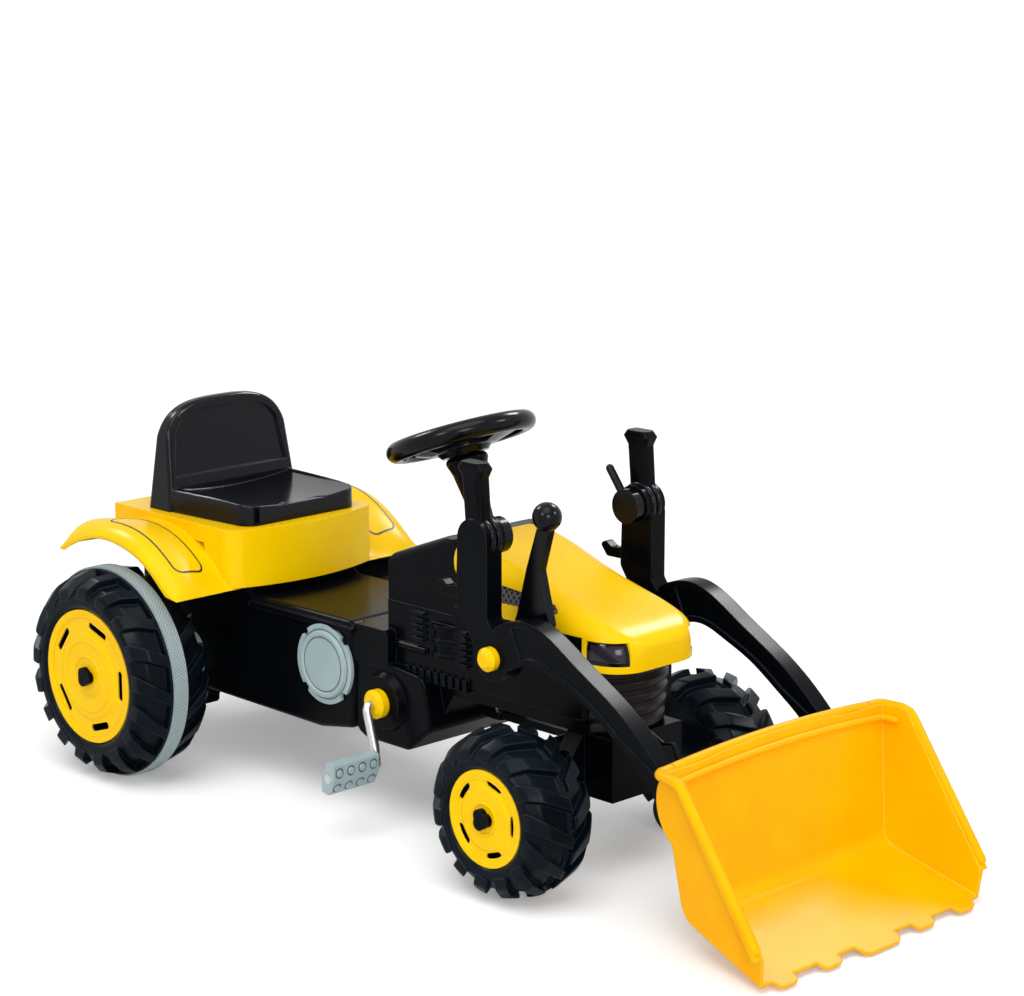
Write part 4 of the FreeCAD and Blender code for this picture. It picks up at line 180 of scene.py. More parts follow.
# Clamp drum at the head of each loader upright: its ribs, and their outline as the height over the
# drum and the share of the half width
DRUM_MIDDLE = (144.0, 398.0)
DRUM_RADIUS = 24.0
RIB_PLACES = (128.5, 138.5)
RIB_HALF_WIDTH = 3.0
RIB_OUTLINE = ((-2.0, -1.0), (1.0, -1.0), (2.4, -0.5), (2.4, 0.5), (1.0, 1.0), (-2.0, 1.0))

# Raised rings on the hubs: hub, body, hub centre and ring radii, and the rings' section
HUB_RINGS = (
    ("rear_hub_left", "rear_wheel_left", (-458.0, 250.0, 137.0), (26.0, 46.0, 78.0)),
    ("rear_hub_right", "rear_axle", (-458.0, -250.0, 137.0), (26.0, 46.0, 78.0)),
    ("front_hub_left", "front_wheel_left", (222.0, 202.0, 100.0), (18.0, 47.0)),
    ("front_hub_right", "front_wheel_right", (222.0, -202.0, 100.0), (18.0, 47.0)),
)
HUB_PROBES = 24
HUB_RING_HALF_WIDTH = 1.7
HUB_RING_RISE = 1.3
HUB_RING_SECTION = 10

# Grip studs on the pedals, and the ring of painted shade round each
PEDAL_LEAN = math.radians(104.5)
PEDAL_CENTRES = (("pedal_left", (-92.0, 164.0, 220.0)), ("pedal_right", (-52.0, -164.0, 82.0)))
STUD_ROWS = (-10.0, 10.0)
STUD_STEPS = (-27.0, -9.0, 9.0, 27.0)
STUD_SHADE = (4.5, 6.4)
SHADE_LIFT = 0.2

# Round side covers: middle, and the inner and outer radius of the lines of painted shade in their grooves
COVER_MIDDLE = (-179.0, 100.0, 178.0)
COVER_SHADE_LINES = ((33.8, 35.4), (43.3, 44.9))

# Points in a round: on the pedals, the signal windows, the lens rims, and the hubs and covers
STUD_ROUND = 20
SIGNAL_ROUND = 32
LENS_ROUND = 64
LARGE_ROUND = 96


# Materials

def linear(hex_colour):
    """sRGB hex value as linear red, green, blue and alpha."""
    parts = [int(hex_colour[i:i + 2], 16) / 255 for i in (1, 3, 5)]
    return [p / 12.92 if p <= 0.04045 else ((p + 0.055) / 1.055) ** 2.4 for p in parts] + [1.0]


def node(tree, kind, values=None, links=None, **settings):
    """Adds a node with its settings, constant inputs and incoming links."""
    made = tree.nodes.new(kind)
    for name, value in settings.items():
        setattr(made, name, value)
    for name, value in (values or {}).items():
        made.inputs[name].default_value = value
    for name, socket in (links or {}).items():
        tree.links.new(socket, made.inputs[name])
    return made


def new_material(name):
    """Empty material and its node tree."""
    material = bpy.data.materials.new(name)
    material.use_nodes = True
    material.node_tree.nodes.clear()
    return material, material.node_tree


def placed_material(name):
    """Empty material, its node tree and its object coordinates in metres."""
    material, tree = new_material(name)
    return material, tree, node(tree, "ShaderNodeTexCoord").outputs["Object"]


def speckle(tree, place, size, detail):
    """Noise whose cells are this many millimetres across."""
    noise = node(tree, "ShaderNodeTexNoise", {"Scale": 1 / (size * MM), "Detail": detail}, {"Vector": place})
    return noise.outputs["Fac"]


def finish_material(tree, values, links):
    """Principled surface with these constants and links, joined to the output."""
    surface = node(tree, "ShaderNodeBsdfPrincipled", values, links)
    node(tree, "ShaderNodeOutputMaterial", links={"Surface": surface.outputs["BSDF"]})


def soft_edges(tree, edge):
    """Normal with the mould's rounded edges, and how near to such an edge a point is."""
    rounded = node(tree, "ShaderNodeBevel", {"Radius": edge * MM}, samples=EDGE_SAMPLES).outputs["Normal"]
    flat = node(tree, "ShaderNodeNewGeometry").outputs["Normal"]
    turn = node(tree, "ShaderNodeVectorMath", links={0: rounded, 1: flat}, operation="DOT_PRODUCT")
    near = node(tree, "ShaderNodeMapRange", {"From Min": 1.0, "From Max": EDGE_FULL_TURN},
                {"Value": turn.outputs["Value"]})
    return rounded, near.outputs["Result"]


def two_tone(tree, factor, low_hex, high_hex, low=0.0, high=1.0):
    """Colour that goes from one hex value to another as a factor goes from low to high."""
    ramp = node(tree, "ShaderNodeValToRGB", links={"Fac": factor})
    for stop, place, hex_colour in zip(ramp.color_ramp.elements, (low, high), (low_hex, high_hex)):
        stop.position = place
        stop.color = linear(hex_colour)
    return ramp.outputs["Color"]


def sine(tree, socket, per_unit, shift=None):
    """Sine of a socket times a factor, with another socket added first."""
    turn = node(tree, "ShaderNodeMath", {1: per_unit}, {0: socket}, operation="MULTIPLY").outputs["Value"]
    if shift is not None:
        turn = node(tree, "ShaderNodeMath", links={0: turn, 1: shift}, operation="ADD").outputs["Value"]
    return node(tree, "ShaderNodeMath", links={0: turn}, operation="SINE").outputs["Value"]


def moulded_plastic(name, light_hex, dark_hex, edge_highlight_hex, rough, grain, wave_depth, gloss, edge=1.6):
    """Moulded plastic: a little cloudy in colour, with the mould's grain, the slow waves of a wall that
    shrank as it cooled, soft edges, and a painted highlight that makes the edges paler in patches. The
    grain has a size and a depth."""
    material, tree, place = placed_material(name)
    grain_size, grain_depth = grain
    clouds = speckle(tree, place, CLOUD_SIZE, detail=3.0)
    colour = two_tone(tree, clouds, dark_hex, light_hex, low=0.3, high=0.7)
    normal, near_edge = soft_edges(tree, edge)
    # Paler edges in patches: a painted highlight along the rounded edges
    edge_highlight = node(tree, "ShaderNodeMath", links={0: near_edge, 1: speckle(tree, place, EDGE_HIGHLIGHT_PATCH, detail=4.0)},
                operation="MULTIPLY")
    with_edge_highlight = node(tree, "ShaderNodeMixRGB", {"Color2": linear(edge_highlight_hex)},
                  {"Fac": edge_highlight.outputs["Value"], "Color1": colour})
    grains = speckle(tree, place, grain_size, detail=2.0)
    dull = node(tree, "ShaderNodeMapRange", {"To Min": rough[0], "To Max": rough[1]}, {"Value": grains})
    slow = node(tree, "ShaderNodeBump", {"Strength": 0.5, "Distance": wave_depth * MM},
                {"Height": speckle(tree, place, WAVE_SIZE, detail=1.0), "Normal": normal})
    fine = node(tree, "ShaderNodeBump", {"Strength": 0.6, "Distance": grain_depth * MM},
                {"Height": grains, "Normal": slow.outputs["Normal"]})
    finish_material(tree, {"IOR": 1.5, "Specular IOR Level": gloss},
                    {"Base Color": with_edge_highlight.outputs["Color"], "Roughness": dull.outputs["Result"],
                     "Normal": fine.outputs["Normal"]})
    return material


def plated_steel():
    """Zinc-plated steel: pale metal with faint drawing marks. The marks are a tenth of a millimetre on the
    real rod, too fine to show, so they are drawn 1.2 mm wide."""
    material, tree, place = placed_material("zinc_plated_steel")
    marks = speckle(tree, place, DRAWN_MARK, detail=2.0)
    colour = two_tone(tree, marks, "#bfc2c4", "#dcdee0", low=0.35, high=0.65)
    dull = node(tree, "ShaderNodeMapRange", {"To Min": 0.2, "To Max": 0.4}, {"Value": marks})
    finish_material(tree, {"Metallic": 1.0}, {"Base Color": colour, "Roughness": dull.outputs["Result"]})
    return material


def knurled_rubber():
    """Grey tread rubber: a matt band with a crossed knurl, one ridge every 5 mm each way round the wheel, with
    painted shade in its grooves and painted highlight on its ridges.
    """
    material, tree, place = placed_material("knurled_grey_rubber")
    spoke = node(tree, "ShaderNodeVectorMath", {1: [c * MM for c in BAND_MIDDLE]}, {0: place},
                 operation="SUBTRACT")
    parts = node(tree, "ShaderNodeSeparateXYZ", links={0: spoke.outputs["Vector"]})
    angle = node(tree, "ShaderNodeMath", links={0: parts.outputs["Z"], 1: parts.outputs["X"]},
                 operation="ARCTAN2").outputs["Value"]
    across = math.tau / (BAND_PITCH * MM)
    ridges = []
    for slant in (across, -across):
        shift = node(tree, "ShaderNodeMath", {1: slant}, {0: parts.outputs["Y"]}, operation="MULTIPLY")
        ridges.append(sine(tree, angle, BAND_RIDGES, shift.outputs["Value"]))
    crossed = node(tree, "ShaderNodeMath", links={0: ridges[0], 1: ridges[1]}, operation="MAXIMUM")
    height = node(tree, "ShaderNodeMapRange", {"From Min": -1.0},
                  {"Value": crossed.outputs["Value"]}).outputs["Result"]
    # Painted shade in the knurl's grooves and painted highlight on its ridges
    colour = two_tone(tree, height, "#7b8b8e", "#a9b9bb", low=0.2, high=0.9)
    knurl = node(tree, "ShaderNodeBump", {"Strength": 0.8, "Distance": KNURL_DEPTH * MM}, {"Height": height})
    finish_material(tree, {"Roughness": 0.62, "IOR": 1.52, "Specular IOR Level": 0.4},
                    {"Base Color": colour, "Normal": knurl.outputs["Normal"]})
    return material


def pressed_mesh():
    """Pressed mesh of the bonnet vents: crossed strands, 6 mm from strand to strand, over a hollow that is
    painted near black as shade.
    """
    material, tree, place = placed_material("pressed_vent_mesh")
    heights = []
    for lean in (math.radians(MESH_LEAN), math.radians(-MESH_LEAN)):
        way = (math.cos(lean), 0.0, math.sin(lean))
        along = node(tree, "ShaderNodeVectorMath", {1: way}, {0: place}, operation="DOT_PRODUCT")
        heights.append(sine(tree, along.outputs["Value"], math.tau / (MESH_PITCH * MM)))
    strands = node(tree, "ShaderNodeMath", links={0: heights[0], 1: heights[1]},
                   operation="MAXIMUM").outputs["Value"]
    # Gaps between strands painted near black: painted shade of the hollow behind the mesh
    colour = two_tone(tree, strands, "#0c0a0e", "#6d6672", low=0.62, high=0.9)
    relief = node(tree, "ShaderNodeBump", {"Strength": 1.0, "Distance": MESH_DEPTH * MM}, {"Height": strands})
    finish_material(tree, {"Roughness": 0.45, "IOR": 1.5, "Specular IOR Level": 0.4},
                    {"Base Color": colour, "Normal": relief.outputs["Normal"]})
    return material


def smoked_lamp():
    """Smoked polystyrene lamp panel: a glossy dark window inside a black rim."""
    material, tree, place = placed_material("smoked_lamp_polystyrene")
    parts = node(tree, "ShaderNodeSeparateXYZ", links={0: place}).outputs
    side = node(tree, "ShaderNodeMath", links={0: parts["Y"]}, operation="ABSOLUTE").outputs["Value"]
    room = None
    for socket, limit, sign in ((parts["Z"], LAMP_LOW, 1), (parts["Z"], LAMP_HIGH, -1),
                                (parts["X"], LAMP_REAR, 1), (side, LAMP_INNER, 1)):
        reach = node(tree, "ShaderNodeMath", {1: sign, 2: -sign * limit * MM}, {0: socket},
                     operation="MULTIPLY_ADD").outputs["Value"]
        room = reach if room is None else node(tree, "ShaderNodeMath", links={0: room, 1: reach},
                                               operation="MINIMUM").outputs["Value"]
    window = node(tree, "ShaderNodeMapRange",
                  {"From Min": LAMP_RIM * MM, "From Max": (LAMP_RIM + LAMP_STEP_WIDTH) * MM},
                  {"Value": room}).outputs["Result"]
    colour = two_tone(tree, window, "#050507", "#2b2630")
    step = node(tree, "ShaderNodeBump", {"Strength": 0.6, "Distance": LAMP_STEP_DEPTH * MM},
                {"Height": window}, invert=True)
    finish_material(tree, {"Roughness": 0.14, "IOR": 1.59, "Specular IOR Level": 0.2},
                    {"Base Color": colour, "Normal": step.outputs["Normal"]})
    return material


def thin_layer(name, hex_colour):
    """Printed film, or painted shade in a groove: one even colour with a faint speckle, dull beside the
    moulding that it lies on."""
    material, tree, place = placed_material(name)
    dull = node(tree, "ShaderNodeMapRange", {"To Min": 0.38, "To Max": 0.52},
                {"Value": speckle(tree, place, SPECKLE_SIZE, detail=2.0)})
    finish_material(tree, {"Base Color": linear(hex_colour), "IOR": 1.49},
                    {"Roughness": dull.outputs["Result"]})
    return material


# The fourth colour of each moulded plastic is the painted highlight on its edges
# Blow-moulded polyethylene is waxy: broad soft highlights over a fine sandy grain
yellow_pe = moulded_plastic("blow_moulded_yellow_polyethylene", "#ffd200", "#ffc700", "#ffe03c",
                            rough=(0.22, 0.32), grain=(1.6, 0.05), wave_depth=0.35, gloss=0.1)
bucket_pe = moulded_plastic("blow_moulded_bucket_polyethylene", "#ffba00", "#ffae00", "#ffd64a",
                            rough=(0.24, 0.36), grain=(1.6, 0.06), wave_depth=0.5, gloss=0.05, edge=3.0)
black_pe = moulded_plastic("blow_moulded_black_polyethylene", "#06080c", "#040609", "#2e3642",
                           rough=(0.18, 0.3), grain=(1.2, 0.06), wave_depth=0.3, gloss=0.055)
tyre_pe = moulded_plastic("blow_moulded_tyre_polyethylene", "#08121a", "#050c13", "#26343f",
                          rough=(0.22, 0.34), grain=(1.2, 0.08), wave_depth=0.3, gloss=0.08, edge=2.4)
grille_pe = moulded_plastic("blow_moulded_grille_polyethylene", "#242021", "#1b1819", "#4a4644",
                            rough=(0.3, 0.42), grain=(1.2, 0.06), wave_depth=0.3, gloss=0.12)
# Injected polypropylene copies a polished mould, so it is glossier and its grain is finer
seat_pp = moulded_plastic("injected_seat_polypropylene", "#060710", "#04050b", "#2c3040",
                          rough=(0.12, 0.2), grain=(1.0, 0.03), wave_depth=0.2, gloss=0.2, edge=3.0)
grey_pp = moulded_plastic("injected_grey_polypropylene", "#a9bcbf", "#9aaeb2", "#c4d2d4",
                          rough=(0.34, 0.46), grain=(1.0, 0.05), wave_depth=0.2, gloss=0.3)
wheel_pp = moulded_plastic("injected_black_polypropylene", "#07080c", "#040508", "#2c303a",
                           rough=(0.14, 0.24), grain=(1.0, 0.04), wave_depth=0.15, gloss=0.16)
# ABS, lens polystyrene and the instrument film are hard and smooth, with hardly any wave
red_abs = moulded_plastic("injected_red_abs", "#d8201c", "#c61a18", "#e65a50",
                          rough=(0.25, 0.35), grain=(1.0, 0.04), wave_depth=0.1, gloss=0.3)
lens_ps = moulded_plastic("orange_lens_polystyrene", "#f0722a", "#e45a1c", "#f79a4e",
                          rough=(0.14, 0.22), grain=(1.0, 0.02), wave_depth=0.1, gloss=0.4)
plate_film = moulded_plastic("silver_instrument_film", "#dfe3e7", "#d3d8dd", "#f2f4f6",
                             rough=(0.3, 0.4), grain=(1.0, 0.02), wave_depth=0.1, gloss=0.3, edge=0.5)
steel = plated_steel()
band_rubber = knurled_rubber()
vent_mesh = pressed_mesh()
lamp_ps = smoked_lamp()
dark_ink = thin_layer("dark_printed_film", "#221c1a")
pale_ink = thin_layer("pale_printed_film", "#f2f2ee")
red_ink = thin_layer("red_printed_film", "#d02a20")
# Painted shade for the grooves of the side covers and round the pedal studs
painted_groove_shade = thin_layer("grey_painted_groove_shade", "#566a70")

FINISHES = {
    yellow_pe: ("bonnet", "mudguard", "rear_hub_left", "rear_hub_right", "front_hub_left",
                "front_hub_right", "crank_hubs", "loader_knobs", "horn_button"),
    bucket_pe: ("bucket",),
    grille_pe: ("grille",),
    black_pe: ("body_shell", "engine_block", "front_axle_beam", "dash_console", "steering_column",
               "crank_bosses", "hitch_bracket", "pivot_spacers", "loader_arm_left", "loader_arm_right",
               "rear_axle_caps", "front_cap_left", "front_cap_right", "tie_rod", "tilt_link"),
    wheel_pp: ("stick_left", "stick_right", "tilt_lever", "lever_ball", "steering_wheel"),
    tyre_pe: ("rear_tyre_left", "rear_tyre_right", "front_tyre_left", "front_tyre_right"),
    seat_pp: ("seat",),
    grey_pp: ("side_covers", "axle_cones", "pedal_left", "pedal_right"),
    band_rubber: ("rear_band_left", "rear_band_right"),
    red_abs: ("hitch_pin",),
    lamp_ps: ("headlights",),
    vent_mesh: ("vent_panels",),
    lens_ps: ("rear_lights",),
    plate_film: ("instrument_plate",),
    steel: ("rear_axle", "rear_sprocket", "crank_shaft", "crank_sprocket", "drive_chain", "loader_shaft",
            "cross_tube", "stub_axle_left", "stub_axle_right", "steering_shaft", "seat_bolts"),
}
for material, names in FINISHES.items():
    for name in names:
        nodes[name].data.materials.clear()
        nodes[name].data.materials.append(material)


# Pieces

def add_piece(name, points, faces, material, body, slot, smooth=False):
    """Mesh piece from points in millimetres, riding on a body."""
    mesh = bpy.data.meshes.new(name)
    mesh.from_pydata([Vector(p) * MM for p in points], [], faces)
    mesh.materials.append(material)
    for face in mesh.polygons:
        face.use_smooth = smooth
    piece = bpy.data.objects.new(name, mesh)
    bpy.context.scene.collection.objects.link(piece)
    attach(piece, body)
    return piece


def skin_of(name):
    """Search tree of a node's surface, in metres."""
    mesh = nodes[name].data
    return BVHTree.FromPolygons([v.co for v in mesh.vertices], [p.vertices for p in mesh.polygons])


def met_first(skin, start, way):
    """First point of a surface on the way from a start, in millimetres, and its normal; or none."""
    spot, normal = skin.ray_cast(Vector(start) * MM, Vector(way))[:2]
    return (None if spot is None else spot / MM), normal


def round_angles(count):
    """Evenly spaced angles of a full turn."""
    return [math.tau * i / count for i in range(count)]


def ring_strip(inner, outer):
    """Points and faces of a flat strip between two closed loops of as many points."""
    count = len(inner)
    faces = [(i, (i + 1) % count, count + (i + 1) % count, count + i) for i in range(count)]
    return list(inner) + list(outer), faces


def turned_points(profile, place, axis, count=40):
    """Points and faces of a turned piece from (radius, height) pairs, the first and last at radius zero."""
    axis = Vector(axis).normalized()
    side = axis.orthogonal().normalized()
    other = axis.cross(side)
    points = [place + axis * profile[0][1]]
    for radius, height in profile[1:-1]:
        for angle in round_angles(count):
            points.append(place + axis * height + (side * math.cos(angle) + other * math.sin(angle)) * radius)
    points.append(place + axis * profile[-1][1])
    faces = [(0, 1 + (i + 1) % count, 1 + i) for i in range(count)]
    rings = len(profile) - 2
    for ring in range(rings - 1):
        start = 1 + ring * count
        for i in range(count):
            j = (i + 1) % count
            faces.append((start + i, start + j, start + count + j, start + count + i))
    last = 1 + (rings - 1) * count
    faces += [(last + i, last + (i + 1) % count, len(points) - 1) for i in range(count)]
    return points, faces


def spun_ring(profile, place, count=56):
    """Points and faces of a closed (radius, height) outline turned about the Y axis at a place."""
    points = []
    for angle in round_angles(count):
        for radius, height in profile:
            points.append(Vector(place) + Vector((radius * math.cos(angle), height, radius * math.sin(angle))))
    size = len(profile)
    faces = []
    for i in range(count):
        j = (i + 1) % count
        for k in range(size):
            after = (k + 1) % size
            faces.append((i * size + k, j * size + k, j * size + after, i * size + after))
    return points, faces


def tube_along(path, radius, count=16):
    """Points and faces of a round bead along a path, with a round nose at both ends."""
    start = (path[0] - path[1]).normalized()
    end = (path[-1] - path[-2]).normalized()
    nose = [math.radians(a) for a in BEAD_NOSE]
    rings = [(path[0] + start * radius * math.sin(a), radius * math.cos(a)) for a in nose]
    rings += [(spot, radius) for spot in path]
    rings += [(path[-1] + end * radius * math.sin(a), radius * math.cos(a)) for a in reversed(nose)]
    last = len(rings) - 1
    points = []
    for i, (spot, girth) in enumerate(rings):
        way = (rings[min(i + 1, last)][0] - rings[max(i - 1, 0)][0]).normalized()
        side = way.cross(BEAD_ASIDE).normalized()
        other = way.cross(side)
        for angle in round_angles(count):
            points.append(spot + (side * math.cos(angle) + other * math.sin(angle)) * girth)
    faces = []
    for i in range(last):
        for k in range(count):
            after = (k + 1) % count
            faces.append((i * count + k, i * count + after, (i + 1) * count + after, (i + 1) * count + k))
    faces.append(tuple(range(count - 1, -1, -1)))
    faces.append(tuple(last * count + k for k in range(count)))
    return points, faces


def merged(parts):
    """One list of points and faces from several."""
    points = []
    faces = []
    for more_points, more_faces in parts:
        shift = len(points)
        points += list(more_points)
        faces += [tuple(i + shift for i in face) for face in more_faces]
    return points, faces


def plate_point(along, right, height):
    """Point on the instrument plate: up the slope, to the driver's right, and above the film."""
    return PLATE_FOOT + PLATE_WAY * along + Vector((0, -right, 0)) + PLATE_UP * (PLATE_FACE + height)


def plate_fan(along, right, inner, outer, start, end, height, steps=24):
    """Part of a ring on the plate, between two angles in degrees from the driver's right."""
    points = []
    for i in range(steps + 1):
        angle = math.radians(start + (end - start) * i / steps)
        for radius in (inner, outer):
            points.append(plate_point(along + radius * math.sin(angle), right + radius * math.cos(angle),
                                      height))
    faces = [(2 * i, 2 * i + 1, 2 * i + 3, 2 * i + 2) for i in range(steps)]
    return points, faces


def plate_oval(along, right, halves, height):
    """Closed oval loop on the plate, from its half width and half height."""
    return [plate_point(along + halves[1] * math.sin(angle), right + halves[0] * math.cos(angle), height)
            for angle in round_angles(SIGNAL_ROUND)]


def plate_number(text, along, right, size, height):
    """Mesh of a plain number on the plate."""
    letters = bpy.data.curves.new("dial_number", "FONT")
    letters.body = text
    letters.size = size
    letters.align_x = "CENTER"
    letters.align_y = "CENTER"
    shape = bpy.data.objects.new("dial_number", letters)
    bpy.context.scene.collection.objects.link(shape)
    bpy.context.view_layer.update()
    mesh = bpy.data.meshes.new_from_object(shape.evaluated_get(bpy.context.evaluated_depsgraph_get()))
    points = [plate_point(along + v.co.y, right + v.co.x, height) for v in mesh.vertices]
    faces = [tuple(p.vertices) for p in mesh.polygons]
    bpy.data.objects.remove(shape)
    bpy.data.meshes.remove(mesh)
    bpy.data.curves.remove(letters)
    return points, faces


def build_gauges():
    """Two half-round gauges with plain numbers, and two signal windows, printed on the instrument plate."""
    dark = []
    pale = []
    needles = []
    for side, aim in GAUGES:
        spot = (GAUGE_ALONG, side * GAUGE_ACROSS)
        dark.append(plate_fan(*spot, 0.0, GAUGE_RADIUS, -GAUGE_OVERRUN, HALF_TURN + GAUGE_OVERRUN, FACE_LAYER))
        pale.append(plate_fan(*spot, SCALE_INNER, SCALE_OUTER, 0.0, HALF_TURN, MARK_LAYER))
        for i in range(TICKS):
            angle = HALF_TURN - HALF_TURN * i / (TICKS - 1)
            pale.append(plate_fan(*spot, TICK_INNER[i % 2], SCALE_INNER, angle - TICK_HALF, angle + TICK_HALF,
                                  MARK_LAYER, steps=2))
        for i in range(NUMBERS):
            angle = math.radians(HALF_TURN - HALF_TURN * i / (NUMBERS - 1))
            pale.append(plate_number(str(NUMBER_STEP * i), spot[0] + NUMBER_RADIUS * math.sin(angle),
                                     spot[1] + NUMBER_RADIUS * math.cos(angle), NUMBER_SIZE, MARK_LAYER))
        needles.append(plate_fan(*spot, *NEEDLE_REACH, aim - NEEDLE_HALF, aim + NEEDLE_HALF, NEEDLE_LAYER,
                                 steps=2))
        pale.append(plate_fan(*spot, 0.0, PIN_RADIUS, 0.0, FULL_TURN, PIN_LAYER))
        signal = (SIGNAL_ALONG, side * SIGNAL_ACROSS)
        dark.append((plate_oval(*signal, SIGNAL_WINDOW, FACE_LAYER), [tuple(range(SIGNAL_ROUND))]))
        pale.append(ring_strip(*[plate_oval(*signal, halves, MARK_LAYER) for halves in SIGNAL_LINE]))
        for step in (-DOT_STEP, 0.0, DOT_STEP):
            pale.append(plate_fan(signal[0], signal[1] + step, 0.0, DOT_RADIUS, 0.0, FULL_TURN, MARK_LAYER,
                                  steps=16))
    add_piece("gauge_faces", *merged(dark), dark_ink, "chassis", "black_plastic")
    add_piece("gauge_marks", *merged(pale), pale_ink, "chassis", "grey_plastic")
    add_piece("gauge_needles", *merged(needles), red_ink, "chassis", "red_plastic")


def rounded_outline(rear, front, low, high, corner, steps=10):
    """Closed outline of a rectangle with round corners, in two coordinates."""
    points = []
    for x, y, start in ((front - corner, high - corner, 0.0), (rear + corner, high - corner, 90.0),
                        (rear + corner, low + corner, 180.0), (front - corner, low + corner, 270.0)):
        for i in range(steps + 1):
            angle = math.radians(start + 90.0 * i / steps)
            points.append((x + corner * math.cos(angle), y + corner * math.sin(angle)))
    return points


def filled_in(points, longest):
    """Outline with more points on its long runs, so that it can bend over a crown."""
    dense = []
    for i, here in enumerate(points):
        following = points[(i + 1) % len(points)]
        count = max(1, math.ceil(math.dist(here, following) / longest))
        for k in range(count):
            dense.append(tuple(a + (b - a) * k / count for a, b in zip(here, following)))
    return dense


def uneven_strip(outer, inner):
    """Points and faces of a flat strip between two closed loops, the inner one of fewer points."""
    count = len(outer)
    nearest = [round(i * len(inner) / count) % len(inner) for i in range(count)]
    faces = []
    for i in range(count):
        j = (i + 1) % count
        a = count + nearest[i]
        b = count + nearest[j]
        faces.append((i, j, b, a) if a != b else (i, j, a))
    return outer + inner, faces


def build_wing_panels():
    """Outlined panel printed on the crown of each wing, left plain inside."""
    skin = skin_of("mudguard")
    for side, name in SIDES:
        loops = []
        for inset in (0.0, PANEL_LINE):
            outline = rounded_outline(PANEL_REAR + inset, PANEL_FRONT - inset, PANEL_INNER + inset,
                                      PANEL_OUTER - inset, PANEL_CORNER - inset)
            loop = []
            for x, y in filled_in(outline, PANEL_STEP):
                spot, normal = met_first(skin, (x, side * y, ABOVE_ALL), (0, 0, -1))
                loop.append(spot + normal * PANEL_LIFT)
            loops.append(loop)
        add_piece("wing_panel_line_" + name, *uneven_strip(*loops), dark_ink, "chassis", "black_plastic")


def seated_loop(skin, middle, across, up, out, lift, count):
    """Oval loop about a middle from its two half axes, each point set down on a surface and lifted a little."""
    loop = []
    for angle in round_angles(count):
        place = middle + across * math.cos(angle) + up * math.sin(angle)
        spot = met_first(skin, place + out * SEAT_LEAD, -out)[0]
        loop.append((place if spot is None else spot) + out * lift)
    return loop


def seated_ring(skin, middle, out, radii, count):
    """Flat ring of painted shade about a middle, set down on a surface."""
    side = out.orthogonal().normalized()
    other = out.cross(side)
    return ring_strip(*[seated_loop(skin, middle, side * radius, other * radius, out, SHADE_LIFT, count)
                        for radius in radii])


def build_lens_rims():
    """Dark printed rim round each rear lens, lying on the wing."""
    skin = skin_of("mudguard")
    out = Vector((-math.sin(LENS_LEAN), 0, math.cos(LENS_LEAN)))
    up = Vector((math.cos(LENS_LEAN), 0, math.sin(LENS_LEAN)))
    across = Vector((0, 1, 0))
    for side, name in SIDES:
        middle = Vector((LENS_MIDDLE[0], side * LENS_MIDDLE[1], LENS_MIDDLE[2]))
        loops = [seated_loop(skin, middle, across * (LENS_HALF_WIDTH + grow), up * (LENS_HALF_HEIGHT + grow),
                             out, LENS_RIM_LIFT, LENS_ROUND) for grow in LENS_RIM]
        add_piece("rear_lens_rim_" + name, *ring_strip(*loops), dark_ink, "chassis", "black_plastic")


def build_dash_knob():
    """Round grey key knob on the rear of the dash, with a collar and a bar across its grip."""
    place = met_first(skin_of("dash_console"), (BEHIND_DASH, KNOB_ACROSS, KNOB_UP), (1, 0, 0))[0]
    bar = rounded_outline(-KNOB_BAR_HALF_LENGTH, KNOB_BAR_HALF_LENGTH, -KNOB_BAR_HALF_WIDTH,
                          KNOB_BAR_HALF_WIDTH, KNOB_BAR_CORNER, steps=6)
    taper_along, taper_across = KNOB_BAR_TAPER
    foot = [place + Vector((-KNOB_BAR_FOOT, a, b)) for a, b in bar]
    head = [place + Vector((-KNOB_BAR_HEAD, a * taper_along, b * taper_across)) for a, b in bar]
    points, faces = ring_strip(foot, head)
    faces.append(tuple(range(len(bar), 2 * len(bar))))
    turned = [turned_points(profile, place, (-1, 0, 0)) for profile in (KNOB_COLLAR, KNOB_GRIP)]
    knob = add_piece("dash_key_knob", *merged(turned + [(points, faces)]), grey_pp, "chassis", "grey_plastic",
                     smooth=True)
    edges = knob.modifiers.new("soft_edges", "BEVEL")
    edges.width = KNOB_EDGE * MM
    edges.segments = 2
    edges.limit_method = "ANGLE"


def rounded_path(corners, radius, steps=8):
    """Path through corner points, with each inner corner rounded."""
    path = [corners[0]]
    for before, here, after in zip(corners, corners[1:], corners[2:]):
        reach = min(radius, (before - here).length / 2, (after - here).length / 2)
        start = here + (before - here).normalized() * reach
        end = here + (after - here).normalized() * reach
        for i in range(steps + 1):
            t = i / steps
            path.append(start * (1 - t) ** 2 + here * 2 * t * (1 - t) + end * t ** 2)
    path.append(corners[-1])
    return path


def bucket_edge(corners):
    """Path over the bucket from one side to the other, through the left corners and a crowned rear edge."""
    hinge = Vector((BUCKET_HINGE[0], 0, BUCKET_HINGE[1]))
    left = [hinge + Vector(corner) for corner in corners]
    right = [Vector((p.x, -p.y, p.z)) for p in reversed(left)]
    far_x, far_y, far_z = corners[-1]
    crown = []
    for i in range(1, 2 * MOUTH_STEPS):
        share = 1 - i / MOUTH_STEPS
        crown.append(hinge + Vector((far_x, far_y * share, far_z + MOUTH_RISE * (1 - share ** 2))))
    return rounded_path(left + crown + right, MOUTH_ROUND)


def build_bucket_beads():
    """Rolled bead round the bucket's mouth and crowned rear edge, and the step moulded inside that edge."""
    for name, corners, radius in (("bucket_rim_bead", MOUTH_CORNERS, BEAD_RADIUS),
                                  ("bucket_lip_step", LIP_CORNERS, LIP_RADIUS)):
        add_piece(name, *tube_along(bucket_edge(corners), radius), bucket_pe, "bucket", "yellow_plastic",
                  smooth=True)


